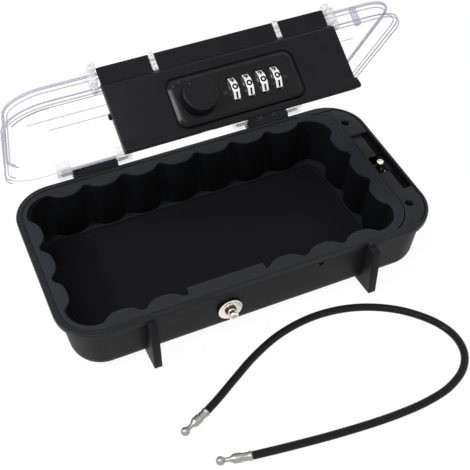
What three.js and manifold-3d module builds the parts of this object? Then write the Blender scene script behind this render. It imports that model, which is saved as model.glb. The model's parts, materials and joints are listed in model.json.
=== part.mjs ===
// Portable car safe: a small lockable tray with a clear hinged lid, a four-dial combination lock
// on the lid's front and a loose security cable. Millimetres, +Z up, the front faces -Y.
// The origin lies on the floor under the middle of the tray's rim.

import * as THREE from 'three';
import { mergeVertices } from 'three/addons/utils/BufferGeometryUtils.js';
import Module from 'manifold-3d';

const wasm = await Module();
wasm.setup();

// Driving dimensions

const gap = 0.3;
const overrun = 5;
const quarter = Math.PI / 2;
const sides = { thread: 12, pin: 16, hub: 20, boss: 24, round: 28, disc: 36, knob: 40 };
const curveSteps = 6;

const tray = {
  length: 240,
  depth: 128,
  height: 42,
  rimRadius: 26,
  rimThickness: 4,
  rimOverhang: 3,
  wall: 2.4,
  floor: 2.4,
  draft: 2,
  baseRound: 8,
  ledgeDepth: 1.8,
  ledgeInset: 3.6,
  roundSteps: 5,
};
const endBay = { width: 16.5, halfDepth: 52, bossRadius: 4, plateThickness: 3.2 };
const fin = {
  innerX: 68.1,
  thickness: 5,
  reach: 8.45,
  topFront: 38.2,
  topBack: 40.4,
  lowFront: 3,
  lowBack: 0.3,
};
const wallNotch = { x: 37.8, z: 35, width: 5, height: 3.6, depth: 0.7 };

const hinge = {
  back: 3.2,
  rise: 1.5,
  radius: 2.9,
  pinRadius: 1,
  boreRadius: 1.25,
  centreX: 61,
  lugWidth: 30,
  knuckleWidth: 7,
  sideGap: 0.4,
  openDegrees: 58.7,
};

const liner = {
  wallGap: 0.3,
  scallop: 5,
  valleyInset: 5.4,
  padThickness: 3,
  lobePitch: 26.3,
  endLobePitch: 29,
  lobeSteps: 8,
  cornerRadius: 16,
  flatLeft: -44,
  flatRight: 4,
};

const lid = {
  rimHeight: 3,
  wallInset: 2.5,
  height: 12.7,
  wall: 2.2,
  cornerRound: 8,
};
const skirt = { halfWidth: 66.2, low: 8, thickness: 2, setBack: 0.05, neckHeight: 3 };
const rib = { width: 3.2, endX: 69, innerX: 35.6, innerWidth: 2.6, proud: 2.4 };

const cover = {
  halfWidth: 66.4,
  low: 5,
  faceTop: 43.4,
  proud: 6.55,
  wall: 1.8,
  standOff: 1.2,
  stripProud: 1.6,
  stripWall: 1.35,
  lipReach: 2,
  lipHeight: 3.3,
  shoulderRound: 2.6,
  shoulderTurnShare: 1.3,
};
const plate = {
  centreX: 0,
  width: 71,
  height: 27,
  centreZ: 22.6,
  raise: 1.4,
  thickness: 2.1,
  corner: 5,
  groove: 1,
  skin: 0.8,
};

const stud = {
  x: -21.4,
  z: 22.8,
  washerRadius: 7.5,
  washerThickness: 1,
  collarRadius: 3.9,
  collarLength: 1,
  slotPlay: 0.5,
  shankRadius: 2.5,
  neckRadius: 1.6,
  headRadius: 2.7,
  headLength: 1.3,
  neckLength: 2.1,
  shankSetBack: 0.25,
  nutRadius: 4,
  nutLength: 2.2,
  nutSides: 6,
};

const knob = { radius: 9.8, height: 7, taper: 0.5, edge: 0.8, dotAngle: 120, dotRadius: 7.4, dot: 0.55 };
const spindle = {
  bossRadius: 3.6,
  discThickness: 1,
  cupRadius: 6.2,
  cupBore: 3.1,
  catchRadius: 7.6,
  catchThickness: 1.3,
  neckPlay: 0.3,
  camLift: 1.8,
  camSteps: 48,
  // The cam falls up to the first share of a quarter turn and has risen again at the second.
  camShares: [1.15, 1.6],
};

const dial = {
  count: 4,
  sides: 10,
  radius: 7.3,
  width: 3.6,
  pitch: 8,
  firstX: -1.8,
  z: 22.4,
  axisInset: 2.2,
  slotWidth: 4.4,
  slotHalfHeight: 7.5,
  ringRadius: 2.4,
  ringWidth: 2.4,
};
const axle = { radius: 1.1, reachRight: 30.4, tabLeft: -9, tabWidth: 1.4 };
const frame = {
  wall: 1.2,
  leftX: -6.4,
  rightX: 27.6,
  topZ: 30.2,
  low: 15.1,
  frontReach: 1.15,
  backReach: 4.05,
};
const detent = { z: 13.3, thickness: 0.4, bump: 1.3, width: 2.4, depth: 3 };
const barSpring = { turns: 5, radius: 0.85, wire: 0.25, length: 3.6, sides: 5, stepsPerTurn: 8 };
const resetButton = { x: 38, z: 30, radius: 1.6, headRadius: 2.4, headLength: 0.8, travel: 1.2 };
const sideScrew = { z: 28.2, headRadius: 1.1, headLength: 1.2, length: 7, threadRadius: 0.7, boss: 4.6 };

const port = {
  screwInset: 11.9,
  screwY: 42.2,
  endMargin: 7,
  pocketLength: 58,
  pocketInset: 0.9,
  pocketCorner: 2,
  pocketDepth: 2.2,
  slotLength: 17.8,
  slotWidth: 9.4,
  slotInset: 9.7,
  slotY: -2,
  pinInset: 9.3,
  pinY: -1.2,
  pinRadius: 2.6,
  pinHeadHeight: 1.9,
  pinStemRadius: 1.4,
  pinDomeShare: 0.8,
  screwHead: 2.5,
  screwHeadHeight: 1,
  screwStem: 1.2,
  screwLength: 7,
  holeLength: 7,
};
const cableHole = { radius: 3.6, z: 33.4, y: -2.9 };

const cable = { radius: 2.35, sides: 10, steps: 46 };
const fitting = {
  radius: 2.75,
  length: 12.6,
  crimp: 0.35,
  neckRadius: 1.3,
  neckLength: 2.4,
  ballRadius: 2.55,
  // Where the crimp starts and ends and where the nose tapers, along the ferrule.
  bandShares: [0.12, 0.18, 0.44, 0.5, 0.8],
};
// The cable's route, chosen by hand from the fitting at one end to the fitting at the other.
const cableRoute = [
  [-56.2, -107.9, 2.9], [-48.3, -103.5, 2.8], [-32.5, -93.6, 2.4], [-16.4, -84.1, 2.4], [3.6, -75.6, 2.4],
  [26.0, -71.6, 2.4], [46.0, -73.0, 2.4], [64.2, -78.9, 2.4], [81.4, -89.8, 2.4], [94.9, -105.5, 2.4],
  [99.7, -119.5, 2.4], [97.8, -131.9, 2.4], [90.3, -141.6, 2.4], [76.3, -148.9, 2.4], [59.9, -152.0, 2.4],
  [44.2, -152.7, 2.4], [27.8, -152.2, 2.4], [2.1, -150.0, 2.4], [-21.7, -147.0, 2.4], [-36.3, -145.1, 2.8],
  [-44.4, -143.9, 2.9],
];
const endDirections = [[-13.4, -6.3, 0], [-18.4, 4.3, 0]];

// Places worked out from the driving dimensions

const rimZ = tray.height;
const lidZ = rimZ + gap;
const lidTop = lidZ + lid.height;
const halfLength = tray.length / 2;
const halfDepth = tray.depth / 2;
const wallTopY = halfDepth - tray.rimOverhang;
const wallTopX = halfLength - tray.rimOverhang;
const ledgeX = halfLength - tray.ledgeInset;
const ledgeY = halfDepth - tray.ledgeInset;
const draftSlope = tray.draft / tray.height;
const hingeY = halfDepth + hinge.back;
const hingeZ = rimZ + hinge.rise;
const bayX = halfLength - endBay.width;
const portLeft = bayX + gap;
const portRight = ledgeX - gap;
const screwX = halfLength - port.screwInset;
const slotX = halfLength - port.slotInset;
const pinX = halfLength - port.pinInset;
const frontWallAt = (z) => wallTopY - (rimZ - z) * draftSlope;
const springStart = axle.reachRight + gap + barSpring.wire;
const springEnd = springStart + barSpring.length + barSpring.wire;
const dialX = (i) => dial.firstX + i * dial.pitch;
const coverFront = halfDepth + cover.proud;
const coverBack = halfDepth + cover.standOff;
const stripFront = halfDepth + cover.stripProud;
const stripTop = lidTop;
const coverInner = coverFront - cover.wall;
const dialY = -(coverFront - dial.axisInset);
const frameFront = dialY - frame.frontReach;
const frameBack = dialY + frame.backReach;
const plateFront = coverFront + plate.raise;
const skirtFront = halfDepth - skirt.setBack;
const skirtBack = skirtFront - skirt.thickness;
const ribFront = halfDepth + rib.proud;
const shankEnd = halfDepth - stud.shankSetBack;
const plateBack = plateFront - plate.thickness;
const pocketFloor = plateBack - gap;
const sideScrewY = -(coverBack - gap + skirtBack) / 2;
const headBack = shankEnd + stud.neckLength;
const headFront = headBack + stud.headLength;
const catchFront = headBack - gap;
const catchBack = catchFront - spindle.catchThickness;
const discBack = headFront + gap;
const discFront = discBack + spindle.discThickness;

// Colours read off the photograph

const finish = {
  trayBlack: new THREE.MeshStandardMaterial({ color: 0x232427, roughness: 0.62, metalness: 0 }),
  foam: new THREE.MeshStandardMaterial({ color: 0x2b2e33, roughness: 0.85, metalness: 0 }),
  clear: new THREE.MeshStandardMaterial({
    color: 0xe9eaf2, roughness: 0.08, metalness: 0, transparent: true, opacity: 0.3,
  }),
  coverBlack: new THREE.MeshStandardMaterial({ color: 0x26272a, roughness: 0.5, metalness: 0 }),
  plateBlack: new THREE.MeshStandardMaterial({ color: 0x232325, roughness: 0.4, metalness: 0 }),
  knobBlack: new THREE.MeshStandardMaterial({ color: 0x222224, roughness: 0.35, metalness: 0 }),
  nickel: new THREE.MeshStandardMaterial({ color: 0xd8d2c8, roughness: 0.22, metalness: 1 }),
  dialSilver: new THREE.MeshStandardMaterial({ color: 0xe8e8ea, roughness: 0.35, metalness: 0.6 }),
  zinc: new THREE.MeshStandardMaterial({ color: 0xa9abb0, roughness: 0.4, metalness: 1 }),
  springSteel: new THREE.MeshStandardMaterial({ color: 0x9a9ca1, roughness: 0.3, metalness: 1 }),
  brass: new THREE.MeshStandardMaterial({ color: 0xb08d4a, roughness: 0.35, metalness: 1 }),
  jacket: new THREE.MeshStandardMaterial({ color: 0x1b1b1c, roughness: 0.32, metalness: 0 }),
};

// Solids and meshes

function toSolid(geometry) {
  const bare = geometry.clone();
  bare.deleteAttribute('normal');
  bare.deleteAttribute('uv');
  const merged = mergeVertices(bare);
  const index = merged.index.array;
  const kept = [];
  for (let i = 0; i < index.length; i += 3) {
    const [a, b, c] = [index[i], index[i + 1], index[i + 2]];
    if (a !== b && b !== c && c !== a) kept.push(a, b, c);
  }
  const vertProperties = Float32Array.from(merged.attributes.position.array);
  return new wasm.Manifold(new wasm.Mesh({ numProp: 3, vertProperties, triVerts: Uint32Array.from(kept) }));
}

function toGeometry(solid) {
  const data = solid.getMesh();
  const geometry = new THREE.BufferGeometry();
  geometry.setAttribute('position', new THREE.BufferAttribute(Float32Array.from(data.vertProperties), 3));
  geometry.setIndex(new THREE.BufferAttribute(Uint32Array.from(data.triVerts), 1));
  geometry.computeVertexNormals();
  return geometry;
}

function join(...solids) {
  return solids.reduce((whole, piece) => whole.add(piece));
}

function cut(solid, ...tools) {
  return tools.reduce((left, tool) => left.subtract(tool), solid);
}

function named(name, solid, material) {
  const mesh = new THREE.Mesh(toGeometry(solid), material);
  mesh.name = name;
  return mesh;
}

function box(x0, x1, y0, y1, z0, z1) {
  const geometry = new THREE.BoxGeometry(x1 - x0, y1 - y0, z1 - z0);
  geometry.translate((x0 + x1) / 2, (y0 + y1) / 2, (z0 + z1) / 2);
  return toSolid(geometry);
}

function cylinderX(radius, x0, x1, y, z, count = sides.hub) {
  const geometry = new THREE.CylinderGeometry(radius, radius, x1 - x0, count);
  geometry.rotateZ(quarter);
  geometry.translate((x0 + x1) / 2, y, z);
  return toSolid(geometry);
}

function cylinderY(radius, y0, y1, x, z, count = sides.round) {
  const geometry = new THREE.CylinderGeometry(radius, radius, y1 - y0, count);
  geometry.translate(x, (y0 + y1) / 2, z);
  return toSolid(geometry);
}

function cylinderZ(radius, z0, z1, x, y, count = sides.boss) {
  const geometry = new THREE.CylinderGeometry(radius, radius, z1 - z0, count);
  geometry.rotateX(quarter);
  geometry.translate(x, y, (z0 + z1) / 2);
  return toSolid(geometry);
}

// A lathe profile of [radius, distance] pairs, turned about a line that points to the front.
function turnedForward(profile, x, z, count = sides.round) {
  const points = profile.map(([radius, forward]) => new THREE.Vector2(radius, forward));
  const geometry = new THREE.LatheGeometry(points, count);
  geometry.rotateX(Math.PI);
  geometry.translate(x, 0, z);
  return toSolid(geometry);
}

function extruded(shape, depth, axes) {
  const settings = { depth, bevelEnabled: false, curveSegments: curveSteps };
  const geometry = new THREE.ExtrudeGeometry(shape, settings);
  geometry.applyMatrix4(new THREE.Matrix4().makeBasis(...axes));
  return geometry;
}

// An outline in Y and Z, drawn out along X.
function extrudeX(shape, x0, x1) {
  const axes = [new THREE.Vector3(0, 1, 0), new THREE.Vector3(0, 0, 1), new THREE.Vector3(1, 0, 0)];
  return toSolid(extruded(shape, x1 - x0, axes).translate(x0, 0, 0));
}

// An outline in X and Z, drawn out from its back at y1 forward to y0.
function extrudeY(shape, y0, y1) {
  const axes = [new THREE.Vector3(1, 0, 0), new THREE.Vector3(0, 0, 1), new THREE.Vector3(0, -1, 0)];
  return toSolid(extruded(shape, y1 - y0, axes).translate(0, y1, 0));
}

function extrudeZ(shape, z0, z1) {
  const axes = [new THREE.Vector3(1, 0, 0), new THREE.Vector3(0, 1, 0), new THREE.Vector3(0, 0, 1)];
  return toSolid(extruded(shape, z1 - z0, axes).translate(0, 0, z0));
}

function polygon(points) {
  return new THREE.Shape(points.map(([u, v]) => new THREE.Vector2(u, v)));
}

function roundedRectangle(u0, u1, v0, v1, radius) {
  const shape = new THREE.Shape();
  shape.moveTo(u0 + radius, v0);
  shape.lineTo(u1 - radius, v0);
  shape.absarc(u1 - radius, v0 + radius, radius, -quarter, 0, false);
  shape.lineTo(u1, v1 - radius);
  shape.absarc(u1 - radius, v1 - radius, radius, 0, quarter, false);
  shape.lineTo(u0 + radius, v1);
  shape.absarc(u0 + radius, v1 - radius, radius, quarter, 2 * quarter, false);
  shape.lineTo(u0, v0 + radius);
  shape.absarc(u0 + radius, v0 + radius, radius, 2 * quarter, 3 * quarter, false);
  return shape;
}

// The rim's outline drawn in by an inset, as a loop at height z.
function rimLoop(inset, z, roundSteps = tray.roundSteps) {
  const halfX = halfLength - inset;
  const halfY = halfDepth - inset;
  const radius = Math.max(tray.rimRadius - inset, tray.rimThickness);
  const corners = [[1, -1, -1], [1, 1, 0], [-1, 1, 1], [-1, -1, 2]];
  return corners.flatMap(([signX, signY, turn]) => (
    Array.from({ length: roundSteps + 1 }, (_, step) => {
      const angle = (turn + step / roundSteps) * quarter;
      const x = signX * (halfX - radius) + radius * Math.cos(angle);
      const y = signY * (halfY - radius) + radius * Math.sin(angle);
      return new THREE.Vector3(x, y, z);
    })
  ));
}

// A closed solid through loops of equal count that climb from the bottom to the top.
function loft(loops) {
  const count = loops[0].length;
  const positions = loops.flat().flatMap((point) => [point.x, point.y, point.z]);
  const index = [];
  for (let row = 0; row + 1 < loops.length; row += 1) {
    for (let i = 0; i < count; i += 1) {
      const a = row * count + i;
      const b = row * count + ((i + 1) % count);
      index.push(a, b, b + count, a, b + count, a + count);
    }
  }
  const last = (loops.length - 1) * count;
  for (let i = 1; i + 1 < count; i += 1) {
    index.push(0, i + 1, i);
    index.push(last, last + i, last + i + 1);
  }
  const geometry = new THREE.BufferGeometry();
  geometry.setAttribute('position', new THREE.Float32BufferAttribute(positions, 3));
  geometry.setIndex(index);
  return toSolid(geometry);
}

// Tray and what is fixed to it

function wallInset(z) {
  return tray.rimOverhang + (rimZ - z) * draftSlope;
}

function trayOutside() {
  const round = Array.from({ length: tray.roundSteps }, (_, step) => {
    const angle = (step / tray.roundSteps) * quarter;
    const z = tray.baseRound * (1 - Math.cos(angle));
    return rimLoop(wallInset(z) + tray.baseRound * (1 - Math.sin(angle)), z);
  });
  const flangeBottom = rimZ - tray.rimThickness;
  return loft([
    ...round,
    rimLoop(wallInset(tray.baseRound), tray.baseRound),
    rimLoop(wallInset(flangeBottom), flangeBottom),
    rimLoop(0, flangeBottom),
    rimLoop(0, rimZ),
  ]);
}

function trayInside() {
  const inner = (z) => wallInset(z) + tray.wall;
  const baseRound = tray.baseRound - tray.wall;
  const round = Array.from({ length: tray.roundSteps }, (_, step) => {
    const angle = (step / tray.roundSteps) * quarter;
    const z = tray.floor + baseRound * (1 - Math.cos(angle));
    return rimLoop(inner(z) + baseRound * (1 - Math.sin(angle)), z);
  });
  const topZ = rimZ + overrun;
  return loft([...round, rimLoop(inner(tray.baseRound), tray.baseRound), rimLoop(inner(topZ), topZ)]);
}

function finSolid(side) {
  const front = -(wallTopY + fin.reach);
  const foot = -(wallTopY - tray.draft - tray.baseRound);
  const inside = -(wallTopY - tray.wall);
  const outline = polygon([
    [foot, fin.lowBack], [foot, fin.topBack], [inside, fin.topBack],
    [front, fin.topFront], [front, fin.lowFront],
  ]);
  const inner = side * fin.innerX;
  const outer = side * (fin.innerX + fin.thickness);
  return extrudeX(outline, Math.min(inner, outer), Math.max(inner, outer));
}

function hingeLug(side) {
  const x0 = side * hinge.centreX - hinge.lugWidth / 2;
  const x1 = x0 + hinge.lugWidth;
  const barrel = cylinderX(hinge.radius, x0, x1, hingeY, hingeZ);
  const web = box(x0, x1, halfDepth + gap, hingeY + hinge.radius, rimZ - tray.rimThickness, hingeZ);
  const root = box(x0, x1, wallTopY, hingeY, rimZ - tray.rimThickness, rimZ);
  const bore = cylinderX(hinge.boreRadius, x0 - overrun, x1 + overrun, hingeY, hingeZ, sides.pin);
  return cut(join(barrel, web, root), bore);
}

// The liner's outline inside the rim, drawn in by an inset, as a solid between two heights.
function linerBlock(inset, z0, z1) {
  const radius = tray.rimRadius - tray.ledgeInset - inset;
  return extrudeZ(
    roundedRectangle(-ledgeX + inset, bayX - inset, -ledgeY + inset, ledgeY - inset, radius), z0, z1,
  );
}

// The end of the rim's inside that the liner leaves free, drawn in by an inset.
function portBlock(inset, z0, z1) {
  const endY = halfDepth - port.endMargin - inset;
  const within = loft([rimLoop(tray.ledgeInset + inset, z0), rimLoop(tray.ledgeInset + inset, z1)]);
  const limits = box(0, halfLength, -endY, endY, z0, z1);
  return cut(within.intersect(limits), linerBlock(-inset, z0 - overrun, z1 + overrun));
}

function endBayRoom() {
  const floorZ = tray.floor;
  const plateSeat = rimZ - endBay.plateThickness - gap;
  const lower = box(
    bayX + tray.wall, halfLength - tray.rimOverhang - tray.draft - tray.wall,
    -endBay.halfDepth + tray.wall, endBay.halfDepth - tray.wall, floorZ + tray.baseRound, plateSeat + overrun,
  ).intersect(trayInside());
  const seat = portBlock(-gap / 2, plateSeat, rimZ + overrun);
  const bosses = [-1, 1].map((side) => (
    cylinderZ(endBay.bossRadius, floorZ, plateSeat, screwX, side * port.screwY)
  ));
  const bores = [-1, 1].map((side) => (
    cylinderZ(
      port.screwStem + gap, plateSeat - port.screwLength, rimZ + overrun, screwX, side * port.screwY,
    )
  ));
  return join(cut(lower, ...bosses), seat, ...bores);
}

function trayShell() {
  const frontRelief = box(
    -fin.innerX, fin.innerX, -tray.depth, -wallTopY, rimZ - 2 * tray.rimThickness, rimZ + overrun,
  );
  const outside = join(
    cut(trayOutside(), frontRelief), finSolid(-1), finSolid(1), hingeLug(-1), hingeLug(1),
  );
  const cavity = trayInside().intersect(linerBlock(0, 0, rimZ + overrun));
  const notch = extrudeY(
    polygon([
      [wallNotch.x - wallNotch.width / 2, wallNotch.z + wallNotch.height / 2],
      [wallNotch.x, wallNotch.z - wallNotch.height / 2],
      [wallNotch.x + wallNotch.width / 2, wallNotch.z + wallNotch.height / 2],
    ]),
    -(wallTopY + overrun), -(frontWallAt(wallNotch.z) - wallNotch.depth),
  );
  const studHole = cylinderY(
    stud.shankRadius + gap, -wallTopY - overrun, -wallTopY + 2 * overrun, stud.x, stud.z,
  );
  const exit = cylinderX(
    cableHole.radius, slotX, tray.length, cableHole.y, cableHole.z,
  );
  const ledge = linerBlock(0, rimZ - tray.ledgeDepth, rimZ + overrun);
  return cut(outside, cavity, ledge, endBayRoom(), notch, studHole, exit);
}

function scallopWave(distance, pitch) {
  const along = (2 * distance) / pitch;
  const fromCentre = along - 2 * Math.round(along / 2);
  return liner.scallop * Math.sqrt(Math.max(0, 1 - fromCentre * fromCentre));
}

// One side of the cavity: lobes swell inward from the valley line between two corners.
function lobedSide(start, end, inward, pitch, flat) {
  const length = start.distanceTo(end);
  const lobes = Math.max(1, Math.round(length / pitch));
  const fitted = length / lobes;
  const steps = lobes * liner.lobeSteps;
  return Array.from({ length: steps }, (_, step) => {
    const travelled = (step / steps) * length;
    const point = start.clone().lerp(end, step / steps);
    const swell = flat && flat(point) ? liner.scallop : scallopWave(travelled - fitted / 2, fitted);
    return point.add(inward.clone().multiplyScalar(swell));
  });
}

function cavityOutline() {
  const x0 = -(wallTopX - liner.valleyInset + liner.scallop / 4);
  const x1 = bayX - liner.valleyInset - tray.ledgeInset / 2;
  const y1 = wallTopY - liner.valleyInset;
  const r = liner.cornerRadius;
  const flatFront = (point) => point.x > liner.flatLeft && point.x < liner.flatRight;
  const corner = (cx, cy, turn) => Array.from({ length: tray.roundSteps }, (_, step) => {
    const angle = (turn + (step + 0.5) / tray.roundSteps) * quarter;
    return new THREE.Vector2(cx + r * Math.cos(angle), cy + r * Math.sin(angle));
  });
  const at = (x, y) => new THREE.Vector2(x, y);
  return new THREE.Shape([
    ...lobedSide(at(x0 + r, -y1), at(x1 - r, -y1), at(0, 1), liner.lobePitch, flatFront),
    ...corner(x1 - r, -y1 + r, 3),
    ...lobedSide(at(x1, -y1 + r), at(x1, y1 - r), at(-1, 0), liner.endLobePitch),
    ...corner(x1 - r, y1 - r, 0),
    ...lobedSide(at(x1 - r, y1), at(x0 + r, y1), at(0, -1), liner.lobePitch),
    ...corner(x0 + r, y1 - r, 1),
    ...lobedSide(at(x0, y1 - r), at(x0, -y1 + r), at(1, 0), liner.endLobePitch),
    ...corner(x0 + r, -y1 + r, 2),
  ]);
}

function foamLiner() {
  const inner = (z) => wallInset(z) + tray.wall + liner.wallGap;
  const lowZ = tray.baseRound + tray.floor;
  const flangeZ = rimZ - tray.ledgeDepth + gap / 2;
  const body = loft([rimLoop(inner(lowZ), lowZ), rimLoop(inner(rimZ), rimZ)]);
  const flange = linerBlock(gap, flangeZ, rimZ);
  const cavity = extrudeZ(cavityOutline(), 0, rimZ + overrun);
  const nutRelief = cylinderY(
    stud.nutRadius + 2 * gap, -tray.depth, -(frontWallAt(stud.z) - tray.wall - stud.nutLength - 2 * gap),
    stud.x, stud.z,
  );
  return cut(join(body.intersect(linerBlock(gap, 0, rimZ)), flange), cavity, nutRelief);
}

function floorPad() {
  const z0 = tray.floor + gap;
  const z1 = tray.floor + liner.padThickness;
  const inset = (z) => wallInset(z) + tray.baseRound + gap;
  const pad = loft([rimLoop(inset(z0), z0), rimLoop(inset(z1), z1)]);
  return pad.intersect(linerBlock(gap, 0, rimZ));
}

function strikerStud() {
  const wall = frontWallAt(stud.z + stud.washerRadius);
  const washerFront = wall + stud.washerThickness + gap / 2;
  const collarEnd = washerFront + gap + stud.collarLength;
  const inside = frontWallAt(stud.z) - tray.wall - stud.nutLength;
  const headEdge = stud.headRadius - stud.headLength / 4;
  return turnedForward([
    [0, inside], [stud.shankRadius, inside], [stud.shankRadius, washerFront + gap],
    [stud.collarRadius, washerFront + gap], [stud.collarRadius, collarEnd],
    [stud.shankRadius, collarEnd], [stud.shankRadius, shankEnd],
    [stud.neckRadius, shankEnd], [stud.neckRadius, headBack], [stud.headRadius, headBack],
    [stud.headRadius, headFront - stud.headLength / 3], [headEdge, headFront], [0, headFront],
  ], stud.x, stud.z);
}

function strikerWasher() {
  const wall = frontWallAt(stud.z + stud.washerRadius) + gap / 2;
  const disc = cylinderY(
    stud.washerRadius, -(wall + stud.washerThickness), -wall, stud.x, stud.z, sides.disc,
  );
  const bore = cylinderY(stud.shankRadius + gap, -tray.depth, 0, stud.x, stud.z);
  return cut(disc, bore);
}

function strikerNut() {
  const outer = frontWallAt(stud.z - stud.nutRadius) - tray.wall - gap;
  const nut = cylinderY(stud.nutRadius, -outer, -(outer - stud.nutLength), stud.x, stud.z, stud.nutSides);
  const bore = cylinderY(stud.shankRadius + gap, -tray.depth, 0, stud.x, stud.z);
  return cut(nut, bore);
}

function portPlate() {
  const top = rimZ - gap;
  const pocket = roundedRectangle(
    portLeft + port.pocketInset, portRight - port.pocketInset,
    -port.pocketLength / 2, port.pocketLength / 2, port.pocketCorner,
  );
  const slot = roundedRectangle(
    slotX - port.slotWidth / 2, slotX + port.slotWidth / 2,
    port.slotY - port.slotLength / 2, port.slotY + port.slotLength / 2, port.slotWidth / 6,
  );
  const bridge = cylinderZ(
    port.pinStemRadius + gap + tray.wall / 2, top - endBay.plateThickness, top - port.pocketDepth,
    pinX, port.pinY,
  );
  const screwHoles = [-1, 1].flatMap((side) => {
    const y = side * port.screwY;
    return [
      extrudeZ(roundedRectangle(
        screwX - port.screwHead - gap, screwX + port.screwHead + gap,
        y - port.holeLength / 2, y + port.holeLength / 2, port.screwHead,
      ), top - port.screwHeadHeight - gap, top + overrun),
      cylinderZ(port.screwStem + gap, 0, top, screwX, y),
    ];
  });
  const arm = box(
    slotX - port.slotWidth / 2 - gap, pinX, port.pinY - tray.wall / 2, port.pinY + tray.wall / 2,
    top - endBay.plateThickness, top - port.pocketDepth,
  );
  const pinBore = cylinderZ(port.pinStemRadius + gap, 0, top + overrun, pinX, port.pinY);
  const slab = cut(
    portBlock(gap, top - endBay.plateThickness, top),
    extrudeZ(pocket, top - port.pocketDepth, top + overrun),
    extrudeZ(slot, 0, top + overrun),
  );
  return cut(join(slab, bridge, arm), pinBore, ...screwHoles);
}

function anchorPin() {
  const seat = rimZ - gap - port.pocketDepth + gap / 2;
  const low = rimZ - gap - endBay.plateThickness;
  const head = port.pinHeadHeight;
  const points = [
    [0, low], [port.pinStemRadius, low], [port.pinStemRadius, seat], [port.pinRadius, seat],
    [port.pinRadius, seat + head / 3],
    [port.pinRadius * Math.SQRT1_2, seat + head * port.pinDomeShare], [0, seat + head],
  ].map(([radius, height]) => new THREE.Vector2(radius, height));
  const geometry = new THREE.LatheGeometry(points, sides.hub);
  geometry.rotateX(quarter);
  geometry.translate(pinX, port.pinY, 0);
  return toSolid(geometry);
}

function portScrew(side) {
  const top = rimZ - gap - gap;
  const seat = top - port.screwHeadHeight;
  const y = side * port.screwY;
  const head = cylinderZ(port.screwHead - gap, seat, top, screwX, y);
  const stem = cylinderZ(port.screwStem, seat - port.screwLength, seat + gap, screwX, y, sides.pin);
  const slot = port.screwHead - 2 * gap;
  const drive = box(
    screwX - slot, screwX + slot, y - gap, y + gap, top - port.screwHeadHeight / 2, top + overrun,
  );
  return cut(join(head, stem), drive);
}

function hingePin(side) {
  const reach = hinge.lugWidth / 2 + hinge.sideGap + hinge.knuckleWidth;
  const x = side * hinge.centreX;
  return cylinderX(hinge.pinRadius, x - reach, x + reach, hingeY, hingeZ, sides.pin);
}

// Lid and what it carries, drawn closed

function lidKnuckles() {
  const reach = hinge.lugWidth / 2 + hinge.sideGap;
  return [-1, 1].flatMap((side) => [-1, 1].map((end) => {
    const near = side * hinge.centreX + end * reach;
    const far = near + end * hinge.knuckleWidth;
    const x0 = Math.min(near, far);
    const x1 = Math.max(near, far);
    const barrel = cylinderX(hinge.radius, x0, x1, hingeY, hingeZ);
    const armY = halfDepth - lid.wallInset - lid.wall / 2;
    const arm = box(x0, x1, armY, hingeY, lidZ, hingeZ + hinge.radius);
    const bore = cylinderX(hinge.boreRadius, x0 - overrun, x1 + overrun, hingeY, hingeZ, sides.pin);
    return cut(join(barrel, arm), bore);
  }));
}

function lidCrown(inset, topZ, round, lowZ) {
  const arc = Array.from({ length: tray.roundSteps + 1 }, (_, step) => {
    const angle = (step / tray.roundSteps) * quarter;
    return rimLoop(inset + round * (1 - Math.cos(angle)), topZ - round * (1 - Math.sin(angle)));
  });
  return loft([rimLoop(inset, lowZ), ...arc]);
}

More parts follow.
